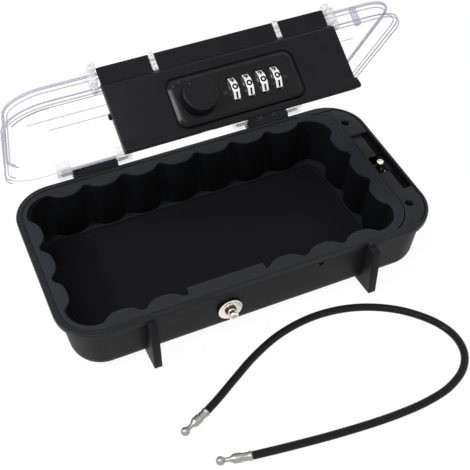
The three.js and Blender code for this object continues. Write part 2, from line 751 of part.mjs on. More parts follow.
function lidShell() {
  const crown = lidCrown(lid.wallInset, lidTop, lid.cornerRound, lidZ);
  const flange = loft([rimLoop(0, lidZ), rimLoop(0, lidZ + lid.rimHeight)]);
  const hollow = lidCrown(
    lid.wallInset + lid.wall, lidTop - lid.wall, lid.cornerRound - lid.wall, lidZ - overrun,
  );
  const relief = box(
    -rib.endX, rib.endX, -tray.depth, -(halfDepth - lid.wallInset), lidZ - overrun, lidTop,
  );
  const wallY = halfDepth - lid.wallInset - lid.wall / 2;
  const apron = join(
    box(-skirt.halfWidth, skirt.halfWidth, -skirtFront, -skirtBack, skirt.low, lidZ + skirt.neckHeight),
    box(-skirt.halfWidth, skirt.halfWidth, -skirtFront, -wallY, lidZ, lidZ + skirt.neckHeight),
  );
  const ribs = [-rib.endX, -rib.innerX, rib.innerX, rib.endX].map((x) => {
    const half = (Math.abs(x) === rib.endX ? rib.width : rib.innerWidth) / 2;
    const low = lidZ + skirt.neckHeight / 3;
    return box(x - half, x + half, -ribFront, -wallY, low, lidTop - lid.cornerRound / 4);
  });
  const bosses = [-1, 1].map((side) => {
    const half = sideScrew.boss / 2;
    const inner = skirt.halfWidth - sideScrew.length;
    const [x0, x1] = side > 0 ? [inner, skirt.halfWidth] : [-skirt.halfWidth, -inner];
    return box(x0, x1, -(coverBack - gap), -skirtBack, sideScrew.z - half, sideScrew.z + half);
  });
  const slotHalf = stud.collarRadius + stud.slotPlay;
  const studSlot = join(
    box(stud.x - slotHalf, stud.x + slotHalf, -tray.depth, 0, 0, stud.z),
    cylinderY(slotHalf, -tray.depth, -wallTopY + overrun, stud.x, stud.z),
  );
  const dialWindow = box(
    frame.leftX - 2 * gap, frame.rightX + frame.wall + 2 * gap,
    -tray.depth, -skirtBack + overrun, dial.z - dial.slotHalfHeight, dial.z + dial.slotHalfHeight,
  );
  const whole = join(cut(join(crown, flange), hollow, relief), apron, ...ribs, ...bosses, ...lidKnuckles());
  const screwHoles = [-1, 1].map((side) => {
    const ends = [side * (skirt.halfWidth + overrun), side * (skirt.halfWidth - sideScrew.length - gap)];
    const stem = cylinderX(
      sideScrew.threadRadius + gap / 2, Math.min(...ends), Math.max(...ends),
      sideScrewY, sideScrew.z, sides.thread,
    );
    const mouth = [side * (skirt.halfWidth + overrun), side * (skirt.halfWidth - sideScrew.headLength)];
    const head = cylinderX(
      sideScrew.headRadius + gap, Math.min(...mouth), Math.max(...mouth), sideScrewY, sideScrew.z, sides.pin,
    );
    return join(stem, head);
  });
  const buttonHole = cylinderY(
    resetButton.radius + gap, -tray.depth, -skirtBack + overrun, resetButton.x, resetButton.z,
  );
  return cut(whole, studSlot, dialWindow, buttonHole, ...screwHoles);
}

function coverOutline() {
  const r = cover.shoulderRound;
  const shape = new THREE.Shape();
  const front = -coverFront;
  const strip = -stripFront;
  shape.moveTo(-coverBack, cover.low);
  shape.lineTo(-coverBack, cover.faceTop);
  shape.lineTo(strip + cover.stripWall, cover.faceTop + r / 2);
  shape.lineTo(strip + cover.stripWall, stripTop);
  shape.lineTo(strip + cover.stripWall / 3, stripTop);
  shape.lineTo(strip, stripTop - cover.stripWall / 2);
  shape.lineTo(strip, cover.faceTop + r / 2);
  shape.absarc(front + r, cover.faceTop - r, r, quarter * cover.shoulderTurnShare, 2 * quarter, false);
  shape.lineTo(front, cover.low + 2 * cover.lipHeight);
  shape.lineTo(front - cover.lipReach, cover.low + cover.lipHeight / 2);
  shape.lineTo(front - cover.lipReach / 2, cover.low);
  return shape;
}

function lockCover() {
  const body = extrudeX(coverOutline(), -cover.halfWidth, cover.halfWidth);
  const side = cover.halfWidth - cover.wall;
  const room = box(
    -side, side, -coverInner, -coverBack + overrun, cover.low + cover.wall, cover.faceTop - cover.wall,
  );
  const apronRoom = box(
    -skirt.halfWidth - gap, skirt.halfWidth + gap, -skirtFront - gap, 0, 0, stripTop - 3 * cover.wall,
  );
  const pocket = extrudeY(
    roundedRectangle(
      plate.centreX - plate.width / 2 - plate.groove, plate.centreX + plate.width / 2 + plate.groove,
      plate.centreZ - plate.height / 2 - plate.groove, plate.centreZ + plate.height / 2 + plate.groove,
      plate.corner + plate.groove,
    ),
    -coverFront - overrun, -pocketFloor,
  );
  const window = box(
    axle.tabLeft - spindle.camLift - gap, springEnd + gap, -coverFront - overrun, -coverBack,
    frame.low - 2 * gap, dial.z + dial.slotHalfHeight,
  );
  const spindleHole = cylinderY(
    spindle.bossRadius + gap, -coverFront - overrun, -coverBack, stud.x, stud.z,
  );
  const entry = box(
    stud.x - spindle.cupBore - gap, stud.x + spindle.cupBore + gap, -discBack, 0, 0, stud.z,
  );
  const ribSlots = [-rib.innerX, rib.innerX].map((x) => {
    const half = rib.innerWidth / 2 + gap;
    return box(x - half, x + half, -stripFront - overrun, 0, lidZ + gap, stripTop + overrun);
  });
  return cut(body, room, apronRoom, pocket, window, spindleHole, entry, ...ribSlots);
}

function lockPlate() {
  const half = { x: plate.width / 2, z: plate.height / 2 };
  const outline = roundedRectangle(
    plate.centreX - half.x, plate.centreX + half.x,
    plate.centreZ - half.z, plate.centreZ + half.z, plate.corner,
  );
  const body = extrudeY(outline, -plateFront, -plateBack);
  const slots = Array.from({ length: dial.count }, (_, i) => box(
    dialX(i) - dial.slotWidth / 2, dialX(i) + dial.slotWidth / 2, -plateFront - overrun, 0,
    dial.z - dial.slotHalfHeight, dial.z + dial.slotHalfHeight,
  ));
  const spindleHole = cylinderY(spindle.bossRadius + gap, -plateFront - overrun, 0, stud.x, stud.z);
  const hubRelief = box(
    axle.tabLeft, springEnd, -plateFront + plate.skin, 0,
    dial.z - dial.ringRadius - gap, dial.z + dial.ringRadius + gap,
  );
  return cut(body, ...slots, spindleHole, hubRelief);
}

function knobSolid() {
  const back = plateFront + gap;
  const front = back + knob.height;
  const body = turnedForward([
    [0, back], [knob.radius, back], [knob.radius - knob.taper, front - knob.edge],
    [knob.radius - knob.taper - knob.edge, front], [0, front],
  ], stud.x, stud.z, sides.knob);
  const angle = THREE.MathUtils.degToRad(knob.dotAngle);
  const dot = cylinderY(
    knob.dot, -front - overrun, -(front - knob.dot),
    stud.x + knob.dotRadius * Math.cos(angle), stud.z + knob.dotRadius * Math.sin(angle), sides.thread,
  );
  return cut(body, dot);
}

// The catch ring traps the stud's neck once it has turned, and its rim is the locking bar's cam.
function lockSpindle() {
  const boss = cylinderY(spindle.bossRadius, -plateFront, -discFront, stud.x, stud.z);
  const disc = cylinderY(spindle.cupRadius, -discFront, -discBack, stud.x, stud.z);
  const cup = cut(
    cylinderY(spindle.cupRadius, -discBack, -catchFront, stud.x, stud.z),
    cylinderY(spindle.cupBore, -discBack, -catchFront, stud.x, stud.z),
    box(stud.x - spindle.cupBore, stud.x + spindle.cupBore, -discBack, -catchFront, 0, stud.z),
  );
  const [fallen, risen] = spindle.camShares;
  const rim = Array.from({ length: spindle.camSteps }, (_, step) => {
    const turn = (step / spindle.camSteps) * 4;
    const angle = turn * quarter;
    const rising = Math.max(0, (fallen * (risen - turn)) / (risen - fallen));
    const radius = spindle.catchRadius - spindle.camLift * (turn <= fallen ? turn : rising);
    return [stud.x + radius * Math.cos(angle), stud.z + radius * Math.sin(angle)];
  });
  const play = stud.neckRadius + spindle.neckPlay;
  const ring = cut(
    extrudeY(polygon(rim), -catchFront, -catchBack),
    cylinderY(play, -catchFront, -catchBack, stud.x, stud.z),
    box(stud.x - play, stud.x + play, -catchFront, -catchBack, 0, stud.z),
  );
  return join(boss, disc, cup, ring);
}

function dialWheel(i) {
  const x0 = dialX(i) - dial.width / 2;
  const x1 = dialX(i) + dial.width / 2;
  const wheel = cylinderX(dial.radius, x0, x1, dialY, dial.z, dial.sides);
  const bore = cylinderX(axle.radius + gap, x0 - overrun, x1 + overrun, dialY, dial.z, sides.pin);
  return cut(wheel, bore);
}

function codeRing(i) {
  const x0 = dialX(i) + dial.width / 2 + gap;
  const x1 = x0 + dial.ringWidth;
  const ring = cylinderX(dial.ringRadius, x0, x1, dialY, dial.z, sides.hub);
  const bore = cylinderX(axle.radius + gap, x0 - overrun, x1 + overrun, dialY, dial.z, sides.pin);
  const gate = box(
    x0 - overrun, x1 + overrun, dialY - gap, dialY + gap,
    dial.z + dial.ringRadius / 2, dial.z + 2 * dial.ringRadius,
  );
  return cut(ring, bore, gate);
}

function codeAxle() {
  const left = axle.tabLeft + axle.tabWidth + gap;
  return cylinderX(axle.radius, left, axle.reachRight, dialY, dial.z, sides.pin);
}

function lockingBar() {
  const noseX = stud.x + spindle.catchRadius + gap;
  const half = axle.radius + gap / 2;
  const tabRight = axle.tabLeft + axle.tabWidth;
  const bar = box(noseX, tabRight, -catchFront, -catchBack, stud.z - half, stud.z + half);
  const tab = box(axle.tabLeft, tabRight, -coverInner + gap, -catchBack, dial.z - 2 * half, stud.z + half);
  return join(bar, tab);
}

function dialFrame() {
  const topZ = frame.topZ;
  const ends = [frame.leftX, frame.rightX].map((x) => join(
    box(x, x + frame.wall, frameFront, frameBack, frame.low, dial.z + dial.slotHalfHeight - gap),
    box(x, x + frame.wall, -coverInner + gap, frameBack, dial.z, topZ + frame.wall),
  ));
  const top = box(
    frame.leftX, frame.rightX + frame.wall, -coverInner + gap, frameBack, topZ, topZ + frame.wall,
  );
  const bore = cylinderX(
    axle.radius + gap, frame.leftX - overrun, frame.rightX + overrun, dialY, dial.z, sides.pin,
  );
  return cut(join(...ends, top), bore);
}

function detentSpring() {
  const y0 = -coverInner + gap;
  const y1 = y0 + detent.depth;
  const strip = box(frame.leftX, frame.rightX + frame.wall, y0, y1, detent.z, detent.z + detent.thickness);
  const bumps = Array.from({ length: dial.count }, (_, i) => box(
    dialX(i) - detent.width / 2, dialX(i) + detent.width / 2, y0 + detent.thickness, y1,
    detent.z, detent.z + detent.bump,
  ));
  return join(strip, ...bumps);
}

class HelixCurve extends THREE.Curve {
  getPoint(share, target = new THREE.Vector3()) {
    const angle = share * barSpring.turns * 4 * quarter;
    return target.set(
      springStart + share * barSpring.length,
      dialY + barSpring.radius * Math.cos(angle),
      dial.z + barSpring.radius * Math.sin(angle),
    );
  }
}

function circleShape(radius, count) {
  const points = Array.from({ length: count }, (_, i) => {
    const angle = (i / count) * 4 * quarter;
    return new THREE.Vector2(radius * Math.cos(angle), radius * Math.sin(angle));
  });
  return new THREE.Shape(points);
}

function returnSpring() {
  return toSolid(new THREE.ExtrudeGeometry(circleShape(barSpring.wire, barSpring.sides), {
    extrudePath: new HelixCurve(),
    steps: barSpring.turns * barSpring.stepsPerTurn,
    bevelEnabled: false,
  }));
}

function resetPin() {
  const front = -(coverInner - resetButton.travel - gap);
  const shaft = cylinderY(
    resetButton.radius, front, -skirtBack, resetButton.x, resetButton.z, sides.pin,
  );
  const head = cylinderY(
    resetButton.headRadius, -(skirtFront + resetButton.headLength + gap), -(skirtFront + gap),
    resetButton.x, resetButton.z, sides.pin,
  );
  return join(shaft, head);
}

function housingScrew(side) {
  const outer = side * (skirt.halfWidth - gap);
  const shoulder = side * (skirt.halfWidth - sideScrew.headLength + gap);
  const tip = side * (skirt.halfWidth - sideScrew.length);
  const head = cylinderX(
    sideScrew.headRadius, Math.min(outer, shoulder), Math.max(outer, shoulder),
    sideScrewY, sideScrew.z, sides.pin,
  );
  const stem = cylinderX(
    sideScrew.threadRadius - gap / 2, Math.min(outer, tip), Math.max(outer, tip),
    sideScrewY, sideScrew.z, sides.thread,
  );
  return join(head, stem);
}

// Security cable

function cableJacket() {
  const points = cableRoute.map(([x, y, z]) => new THREE.Vector3(x, y, z));
  return toSolid(new THREE.ExtrudeGeometry(circleShape(cable.radius, cable.sides), {
    extrudePath: new THREE.CatmullRomCurve3(points, false, 'centripetal'),
    steps: cable.steps,
    bevelEnabled: false,
  }));
}

// A crimped ferrule with a grooved neck and a round head, drawn from the cable outward.
function endFitting(start, direction) {
  const r = fitting.radius;
  const crimped = r - fitting.crimp;
  const neckStart = fitting.length;
  const ballStart = neckStart + fitting.neckLength;
  const ball = fitting.ballRadius;
  const ballArc = Array.from({ length: tray.roundSteps * 2 - 1 }, (_, step) => {
    const angle = ((step + 1) / (tray.roundSteps * 2)) * 2 * quarter;
    return [ball * Math.sin(angle), ballStart + ball * (1 - Math.cos(angle))];
  }).filter(([radius, along]) => radius > fitting.neckRadius || along > ballStart + ball);
  const [bandEnd, crimpStart, crimpEnd, noseStart, noseEnd] = fitting.bandShares.map(
    (share) => share * fitting.length,
  );
  const profile = [
    [0, gap], [r, gap], [r, bandEnd], [crimped, crimpStart], [crimped, crimpEnd],
    [r, noseStart], [r, noseEnd], [fitting.neckRadius, neckStart], ...ballArc, [0, ballStart + 2 * ball],
  ].map(([radius, along]) => new THREE.Vector2(radius, along));
  const geometry = new THREE.LatheGeometry(profile, sides.hub);
  const along = new THREE.Vector3(...direction).normalize();
  geometry.applyQuaternion(new THREE.Quaternion().setFromUnitVectors(new THREE.Vector3(0, 1, 0), along));
  geometry.translate(...start);
  return toSolid(geometry);
}

// Assembly

const safe = new THREE.Group();

const base = new THREE.Group();
base.add(
  named('tray_shell', trayShell(), finish.trayBlack),
  named('foam_liner', foamLiner(), finish.foam),
  named('foam_floor_pad', floorPad(), finish.foam),
  named('striker_stud', strikerStud(), finish.nickel),
  named('striker_washer', strikerWasher(), finish.nickel),
  named('striker_nut', strikerNut(), finish.nickel),
  named('cable_port_plate', portPlate(), finish.trayBlack),
  named('cable_anchor_pin', anchorPin(), finish.nickel),
  named('port_screw_front', portScrew(-1), finish.nickel),
  named('port_screw_back', portScrew(1), finish.nickel),
  named('hinge_pin_left', hingePin(-1), finish.nickel),
  named('hinge_pin_right', hingePin(1), finish.nickel),
);
safe.add(base);

const lidPivot = new THREE.Group();
lidPivot.position.set(0, hingeY, hingeZ);
lidPivot.rotation.x = -THREE.MathUtils.degToRad(hinge.openDegrees);
const lidGroup = new THREE.Group();
lidGroup.position.set(0, -hingeY, -hingeZ);
lidPivot.add(lidGroup);
lidGroup.add(
  named('lid_shell', lidShell(), finish.clear),
  named('lock_cover', lockCover(), finish.coverBlack),
  named('lock_plate', lockPlate(), finish.plateBlack),
  named('knob', knobSolid(), finish.knobBlack),
  named('lock_spindle', lockSpindle(), finish.zinc),
  named('locking_bar', lockingBar(), finish.zinc),
  named('code_axle', codeAxle(), finish.springSteel),
  named('dial_frame', dialFrame(), finish.zinc),
  named('dial_detent_spring', detentSpring(), finish.springSteel),
  named('bar_return_spring', returnSpring(), finish.springSteel),
  named('code_reset_button', resetPin(), finish.zinc),
  named('housing_screw_left', housingScrew(-1), finish.nickel),
  named('housing_screw_right', housingScrew(1), finish.nickel),
);
for (let i = 0; i < dial.count; i += 1) {
  lidGroup.add(named(`dial_${i + 1}`, dialWheel(i), finish.dialSilver));
  lidGroup.add(named(`code_ring_${i + 1}`, codeRing(i), finish.brass));
}
safe.add(lidPivot);

const cableGroup = new THREE.Group();
cableGroup.add(
  named('cable_jacket', cableJacket(), finish.jacket),
  named('cable_end_a', endFitting(cableRoute[0], endDirections[0]), finish.nickel),
  named('cable_end_b', endFitting(cableRoute[cableRoute.length - 1], endDirections[1]), finish.nickel),
);
safe.add(cableGroup);

export default safe;
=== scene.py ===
# Portable car safe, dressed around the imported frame. Pieces are shaped in millimetres and
# placed in metres, +Z up, with the front towards -Y. Lid pieces are shaped closed and then opened.

import json
import math

import bmesh
import bpy
from mathutils import Matrix, Vector


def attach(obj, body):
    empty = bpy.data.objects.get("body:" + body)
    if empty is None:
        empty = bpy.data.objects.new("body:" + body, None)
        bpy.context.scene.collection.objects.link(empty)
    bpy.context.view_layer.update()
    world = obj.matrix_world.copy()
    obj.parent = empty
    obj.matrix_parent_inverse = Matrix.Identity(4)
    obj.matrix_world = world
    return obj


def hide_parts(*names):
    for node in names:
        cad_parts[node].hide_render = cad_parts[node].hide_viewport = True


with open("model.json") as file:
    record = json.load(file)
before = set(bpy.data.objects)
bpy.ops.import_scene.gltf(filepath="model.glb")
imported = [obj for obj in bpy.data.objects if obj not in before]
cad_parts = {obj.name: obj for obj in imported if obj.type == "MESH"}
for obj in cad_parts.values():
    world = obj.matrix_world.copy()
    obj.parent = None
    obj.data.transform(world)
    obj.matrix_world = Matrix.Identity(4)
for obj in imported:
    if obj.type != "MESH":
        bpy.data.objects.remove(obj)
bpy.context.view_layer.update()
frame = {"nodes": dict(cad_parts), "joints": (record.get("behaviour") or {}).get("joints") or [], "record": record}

MM = 0.001
TURN = 2 * math.pi
QUARTER = math.pi / 2

# The lid's pieces turn from closed to the frame's rest about the hinge
hinge_joint = next(joint for joint in frame["joints"] if joint["name"] == "lid_hinge")
hinge_place = Vector(hinge_joint["pos_m"]) / MM
opened = (
    Matrix.Translation(hinge_place)
    @ Matrix.Rotation(math.radians(hinge_joint["range_deg"][0]), 4, "X")
    @ Matrix.Translation(-hinge_place)
)


def node_box(name, closed=False):
    """A node's corners in millimetres, with the lid's nodes turned back to closed if asked."""
    back = opened.inverted() if closed else Matrix.Identity(4)
    points = [back @ (vertex.co / MM) for vertex in frame["nodes"][name].data.vertices]
    return [Vector([pick(point[axis] for point in points) for axis in range(3)]) for pick in (min, max)]


def middles(low, high):
    """The middle of a box along each axis."""
    return [(a + b) / 2 for a, b in zip(low, high)]


# Sizes in millimetres. OVERRUN and FAR let a cutting tool reach past what it cuts

GAP = 0.3
OVERRUN = 5
FAR = 90
pad_low, pad_high = node_box("foam_floor_pad")
half_length = node_box("tray_shell")[1].x
half_depth = 64
rim_z = 42
rim_radius = 26
rim_overhang = 3
rim_thickness = 4
rim_edge = 0.7
floor_thickness = 2.4
front_lip = 1.2
wall = 1.8
draft_slope = 4.68 / rim_z
base_round = 11.2
ledge_inset = 3.6
under_round = 1.2
ledge_depth = 1.8
wall_top_y = half_depth - rim_overhang
ledge_x = half_length - ledge_inset
ledge_y = half_depth - ledge_inset
bay_x = half_length - 16.5
bay_wall = 2.4
liner_radius = rim_radius - ledge_inset
fin_inner, fin_outer, fin_front = 68.1, 73.1, 69.45
stud_low, stud_high = node_box("striker_washer")
stud_x, _, stud_z = middles(stud_low, stud_high)
stud_root = 56
washer_back = -stud_high.y
stud_hole = 2.8
notch_x, notch_z, notch_half, notch_depth = 37.8, 35, 2.5, 0.7
cable_hole, exit_y, exit_z = 3.6, -2.9, 33.4
port_low, port_high = node_box("cable_port_plate")
screw_x, screw_y = half_length - 11.9, 42.2
bay_inset, bay_end = 2.0, 5.5
room_floor, room_end, room_half = 10.4, half_length - 7.4, 49.6
screw_boss = 4
hinge_bore = 1.25
lug_x, lug_half, lug_reach, lug_top = 61, 15, 2.9, 44.8

# Camera, at the photograph's viewing angle

PHOTO_WIDTH = 470
FOCAL_PIXELS = 949.78
SENSOR_WIDTH = 36
camera_place = Vector((-0.156976, -0.385200, 0.457163))
camera_right = Vector((0.916736, -0.399451, -0.005773))
camera_down = Vector((-0.293683, -0.664063, -0.687583))


def make_camera():
    data = bpy.data.cameras.new("camera")
    data.sensor_width = SENSOR_WIDTH
    data.lens = FOCAL_PIXELS * SENSOR_WIDTH / PHOTO_WIDTH
    data.clip_start, data.clip_end = 0.01, 20
    camera = bpy.data.objects.new("camera", data)
    up = -camera_down
    towards = camera_right.cross(up)
    turn = Matrix((camera_right, up, towards)).transposed()
    camera.matrix_world = Matrix.Translation(camera_place) @ turn.to_4x4()
    bpy.context.scene.collection.objects.link(camera)
    bpy.context.scene.camera = camera


make_camera()

# Security cable

cable_radius = 2.35
cable_route = [
    (-56.2, -107.9, 2.9), (-48.3, -103.5, 2.8), (-32.5, -93.6, 2.4), (-16.4, -84.1, 2.4), (3.6, -75.6, 2.4),
    (26.0, -71.6, 2.4), (46.0, -73.0, 2.4), (64.2, -78.9, 2.4), (81.4, -89.8, 2.4), (94.9, -105.5, 2.4),
    (99.7, -119.5, 2.4), (97.8, -131.9, 2.4), (90.3, -141.6, 2.4), (76.3, -148.9, 2.4), (59.9, -152.0, 2.4),
    (44.2, -152.7, 2.4), (27.8, -152.2, 2.4), (2.1, -150.0, 2.4), (-21.7, -147.0, 2.4), (-36.3, -145.1, 2.8),
    (-44.4, -143.9, 2.9),
]


def smooth_route(points, steps):
    """A centripetal Catmull-Rom curve through the points, with some steps between each two."""
    knots = [Vector(point) for point in points]
    knots = [2 * knots[0] - knots[1], *knots, 2 * knots[-1] - knots[-2]]
    route = []
    for before, start, end, after in zip(knots, knots[1:], knots[2:], knots[3:]):
        first, middle, last = (
            (b - a).length ** 0.5 for a, b in ((before, start), (start, end), (end, after))
        )
        leave = (start - before) / first - (end - before) / (first + middle) + (end - start) / middle
        arrive = (end - start) / middle - (after - start) / (middle + last) + (after - end) / last
        for step in range(steps):
            t = step / steps
            route.append(
                (2 * t**3 - 3 * t**2 + 1) * start + (t**3 - 2 * t**2 + t) * middle * leave
                + (3 * t**2 - 2 * t**3) * end + (t**3 - t**2) * middle * arrive
            )
    return route + [knots[-2]]


# Materials

def scaled(colour, share):
    """A colour or a vector with each of its numbers multiplied."""
    return [channel * share for channel in colour]


class Value:
    """An output of a node. Arithmetic on values adds Math nodes."""

    def __init__(self, finish, socket):
        self.finish = finish
        self.socket = socket

    def output(self, name):
        return Value(self.finish, self.socket.node.outputs[name])

    def __add__(self, other):
        return self.finish.math("ADD", self, other)

    def __sub__(self, other):
        return self.finish.math("SUBTRACT", self, other)

    def __rsub__(self, other):
        return self.finish.math("SUBTRACT", other, self)

    def __mul__(self, other):
        return self.finish.math("MULTIPLY", self, other)

    __radd__ = __add__
    __rmul__ = __mul__

    def clamped(self):
        return self.finish.node("Clamp", {"Value": self})


class Nodes:
    """The nodes of a material or of the world, made one by one."""

    def __init__(self, owner):
        owner.use_nodes = True
        self.tree = owner.node_tree
        self.tree.nodes.clear()

    def node(self, kind, sockets=(), **settings):
        """Adds a node with its settings, and its sockets' values or links by name or number."""
        made = self.tree.nodes.new("ShaderNode" + kind)
        for name, value in settings.items():
            setattr(made, name, value)
        inputs = [socket for socket in made.inputs if socket.enabled]
        for name, value in dict(sockets).items():
            socket = inputs[name] if isinstance(name, int) else next(s for s in inputs if s.name == name)
            if isinstance(value, Value):
                self.tree.links.new(value.socket, socket)
            elif socket.type == "RGBA" and len(value) == 3:
                socket.default_value = (*value, 1)
            else:
                socket.default_value = value
        return Value(self, next((socket for socket in made.outputs if socket.enabled), None))

    def math(self, operation, *values):
        """A Math node of any other kind."""
        return self.node("Math", enumerate(values), operation=operation)

    def seen(self):
        """One for what the camera sees, also by reflection or through clear plastic, and else nought."""
        paths = self.node("LightPath")
        rays = [paths.output(f"Is {kind} Ray") for kind in ("Camera", "Glossy", "Transmission")]
        return self.math("MAXIMUM", rays[0], self.math("MAXIMUM", *rays[1:]))


class Finish(Nodes):
    """One material."""

    def __init__(self, name, shown):
        self.material = bpy.data.materials.new(name)
        self.material.diffuse_color = (*shown, 1)
        super().__init__(self.material)

    def place(self, stretch=(1, 1, 1)):
        """Coordinates on the piece in millimetres, stretched along its axes."""
        spot = self.node("TexCoord").output("Object")
        return self.node("VectorMath", {0: spot, 1: scaled(stretch, 1 / MM)}, operation="MULTIPLY")

    def height(self):
        """The height on the piece in millimetres."""
        return self.node("SeparateXYZ", {0: self.place()}).output("Z")

    def noise(self, size, detail, rough, at=None):
        """Soft random values around a half, with features of a size in millimetres."""
        sockets = {"Vector": at or self.place(), "Scale": 1 / size, "Detail": detail, "Roughness": rough}
        return self.node("TexNoise", sockets)

    def ramp(self, value, low, high):
        """Nought up to low, one from high, and smooth between."""
        sockets = {"Value": value, "From Min": low, "From Max": high}
        return self.node("MapRange", sockets, interpolation_type="SMOOTHSTEP")

    def blend(self, share, first, second):
        """A colour between two others."""
        return self.node("Mix", {"Factor": share, "A": first, "B": second}, data_type="RGBA")

    def bump(self, height, depth):
        """A normal bent by a height, whose full rise is a depth in millimetres."""
        return self.node("Bump", {"Strength": 1, "Distance": depth * MM, "Height": height})

    def surface(self, **sockets):
        """The shader, with its sockets named in Python's way."""
        named = {name.replace("_", " "): value for name, value in sockets.items()}
        return self.node("BsdfPrincipled", named)

    def done(self, shader):
        self.node("OutputMaterial", {"Surface": shader})
        return self.material

    def dressed(self, **sockets):
        """The finished material, where it has one shader and no mix."""
        return self.done(self.surface(**sockets))


def moulded(name, colour, roughness, grain, depth, gloss, patch=12, rim=None):
    """Moulded black plastic: a fine grain, soft patches of gloss and a trace of handling. Given a rim height, the
    colour below it is painted darker as painted shade on the walls under the lit top, and the rim above it is
    glossier.
    """
    look = Finish(name, colour)
    fine = look.noise(grain, 3, 0.6)
    cloud = look.noise(patch, 3, 0.55)
    scuff = look.ramp(look.noise(1.6, 5, 0.7, look.place((0.25, 1, 1))), 0.62, 0.78)
    lighter = [channel * 1.35 + 0.002 for channel in colour]
    base = look.blend(look.ramp(cloud, 0.3, 0.75) * 0.5 + scuff * 0.12, colour, lighter)
    shine = roughness + (cloud - 0.5) * 0.16 + (fine - 0.5) * 0.12 - scuff * 0.05
    # Painted shade: below the rim height the colour falls to 0.42 of itself, so the walls read darker than the lit
    # top.
    if rim:
        height = look.height()
        base = look.blend(look.ramp(height, rim - 1.5, rim), scaled(colour, 0.42), base)
        shine = shine - look.ramp(height, rim - 2, rim) * 0.25
    return look.dressed(
        Base_Color=base, Roughness=shine.clamped(), Specular_IOR_Level=gloss,
        Normal=look.bump(fine, depth),
    )


def foam_finish():
    """Closed-cell foam, with light and shade painted in by height: lighter on top where the light falls, painted
    shade on the cut walls, and mid tones on the floor and the valley ledges.
    """
    top, painted_wall_shade, pale = (0.031, 0.0325, 0.0385), (0.003, 0.0032, 0.004), (0.0088, 0.0088, 0.0118)
    look = Finish("foam_lining", top)
    cells = look.noise(0.5, 4, 0.65)
    pores = look.node("TexVoronoi", {"Vector": look.place(), "Scale": 1 / 0.7}, feature="F1")
    cloud = look.noise(18, 3, 0.5)
    height = look.height()
    # Painted light and shade by height: mid tones on the floor and the valley ledges, near black on the walls, the
    # lit colour on top.
    floor = 1 - look.ramp(height, pad_high.z + 2.9, pad_high.z + 3.4)
    ledge = look.ramp(height, pad_high.z + 2.3, pad_high.z + 2.7)
    painted_wall_floor_shade = look.blend(floor, painted_wall_shade, look.blend(ledge, pale, (0.0165, 0.0175, 0.02)))
    base = look.blend(look.ramp(height, rim_z - 1.6, rim_z - 0.3), painted_wall_floor_shade, top)
    speck = (look.ramp(cloud, 0.3, 0.7) * 0.06 + (cells - 0.5) * 0.4).clamped() * (1 - floor * 0.7)
    base = look.blend(speck, base, scaled(top, 1.7))
    return look.dressed(
        Base_Color=base, Roughness=(0.86 + (cells - 0.5) * 0.2).clamped(), Specular_IOR_Level=0.09,
        Normal=look.bump(cells * 0.7 + pores * 0.3, 0.09),
    )


def plated(name, colour, roughness, lines=(1, 1, 1), streak=0.5, dark=0.55):
    """Bright plating with fine tool lines and a little tarnish."""
    look = Finish(name, colour)
    brushed = look.noise(0.25, 4, 0.7, look.place(lines))
    cloud = look.noise(1.8, 4, 0.6)
    tarnish = look.ramp(cloud, 0.55, 0.8) * 0.5 + look.ramp(brushed, 0.6, 0.8) * streak * 0.4
    base = look.blend(tarnish.clamped(), colour, scaled(colour, dark))
    rough = roughness + (brushed - 0.5) * 0.22 * streak + look.ramp(cloud, 0.5, 0.8) * 0.1
    return look.dressed(
        Base_Color=base, Metallic=1.0, Roughness=rough.clamped(),
        Normal=look.bump(brushed, 0.012 * streak),
    )


def clear_finish(name, face_on, turned, low, high, cloudy=0.0):
    """Clear plastic, nearly unseen face on, with tinted edges; cloudy where it is frosted."""
    look = Finish(name, face_on)
    ripple = look.noise(9, 2, 0.5)
    speck = look.noise(0.9, 4, 0.65)
    edge = look.ramp(look.node("LayerWeight", {"Blend": 0.35}).output("Facing"), 0.76, 1.0)
    spots = look.ramp(speck, 0.52, 0.66)
    return look.dressed(
        Base_Color=look.blend(edge, look.blend(spots * cloudy, face_on, turned), turned),
        Roughness=(0.05 + spots * 0.1).clamped(), Specular_IOR_Level=0.5,
        Alpha=(low + edge * (high - low) + (spots * 0.3 + (ripple - 0.5) * 0.5) * cloudy).clamped(),
        Normal=look.bump(speck * cloudy + ripple * 0.3, 0.03 + 0.1 * cloudy),
    )


def sheath_finish():
    """A glossy sheath over a steel braid that shows faintly as a diamond pattern."""
    colour = (0.006, 0.006, 0.0065)
    look = Finish("cable_sheath", colour)
    spot = look.node("SeparateXYZ", {0: look.node("TexCoord").output("UV")})
    around, along = spot.output("X"), spot.output("Y")
    strands = [
        look.math("SINE", around * (TURN * 8) + along * (TURN * 520) * way) for way in (1, -1)
    ]
    braid = look.math("MAXIMUM", *strands)
    cloud = look.noise(6, 3, 0.6)
    seen = look.ramp(braid, 0.55, 1.0) * (0.5 + cloud * 0.5)
    base = look.blend(seen, scaled(colour, 0.6), scaled(colour, 3.0))
    return look.dressed(
        Base_Color=base, Roughness=(0.34 + (cloud - 0.5) * 0.25).clamped(), Specular_IOR_Level=0.09,
        Coat_Weight=(0.1 + (cloud - 0.5) * 0.1).clamped(), Coat_Roughness=0.12,
        Normal=look.bump(braid, 0.2),
    )


def printed(name, colour, roughness, gloss=0.1):
    """Thin paint with slightly uneven cover."""
    look = Finish(name, colour)
    uneven = look.noise(0.3, 3, 0.6)
    base = look.blend(look.ramp(uneven, 0.55, 0.8) * 0.4, colour, scaled(colour, 0.7))
    return look.dressed(
        Base_Color=base, Roughness=(roughness + (uneven - 0.5) * 0.2).clamped(), Specular_IOR_Level=gloss,
        Normal=look.bump(uneven, 0.01),
    )


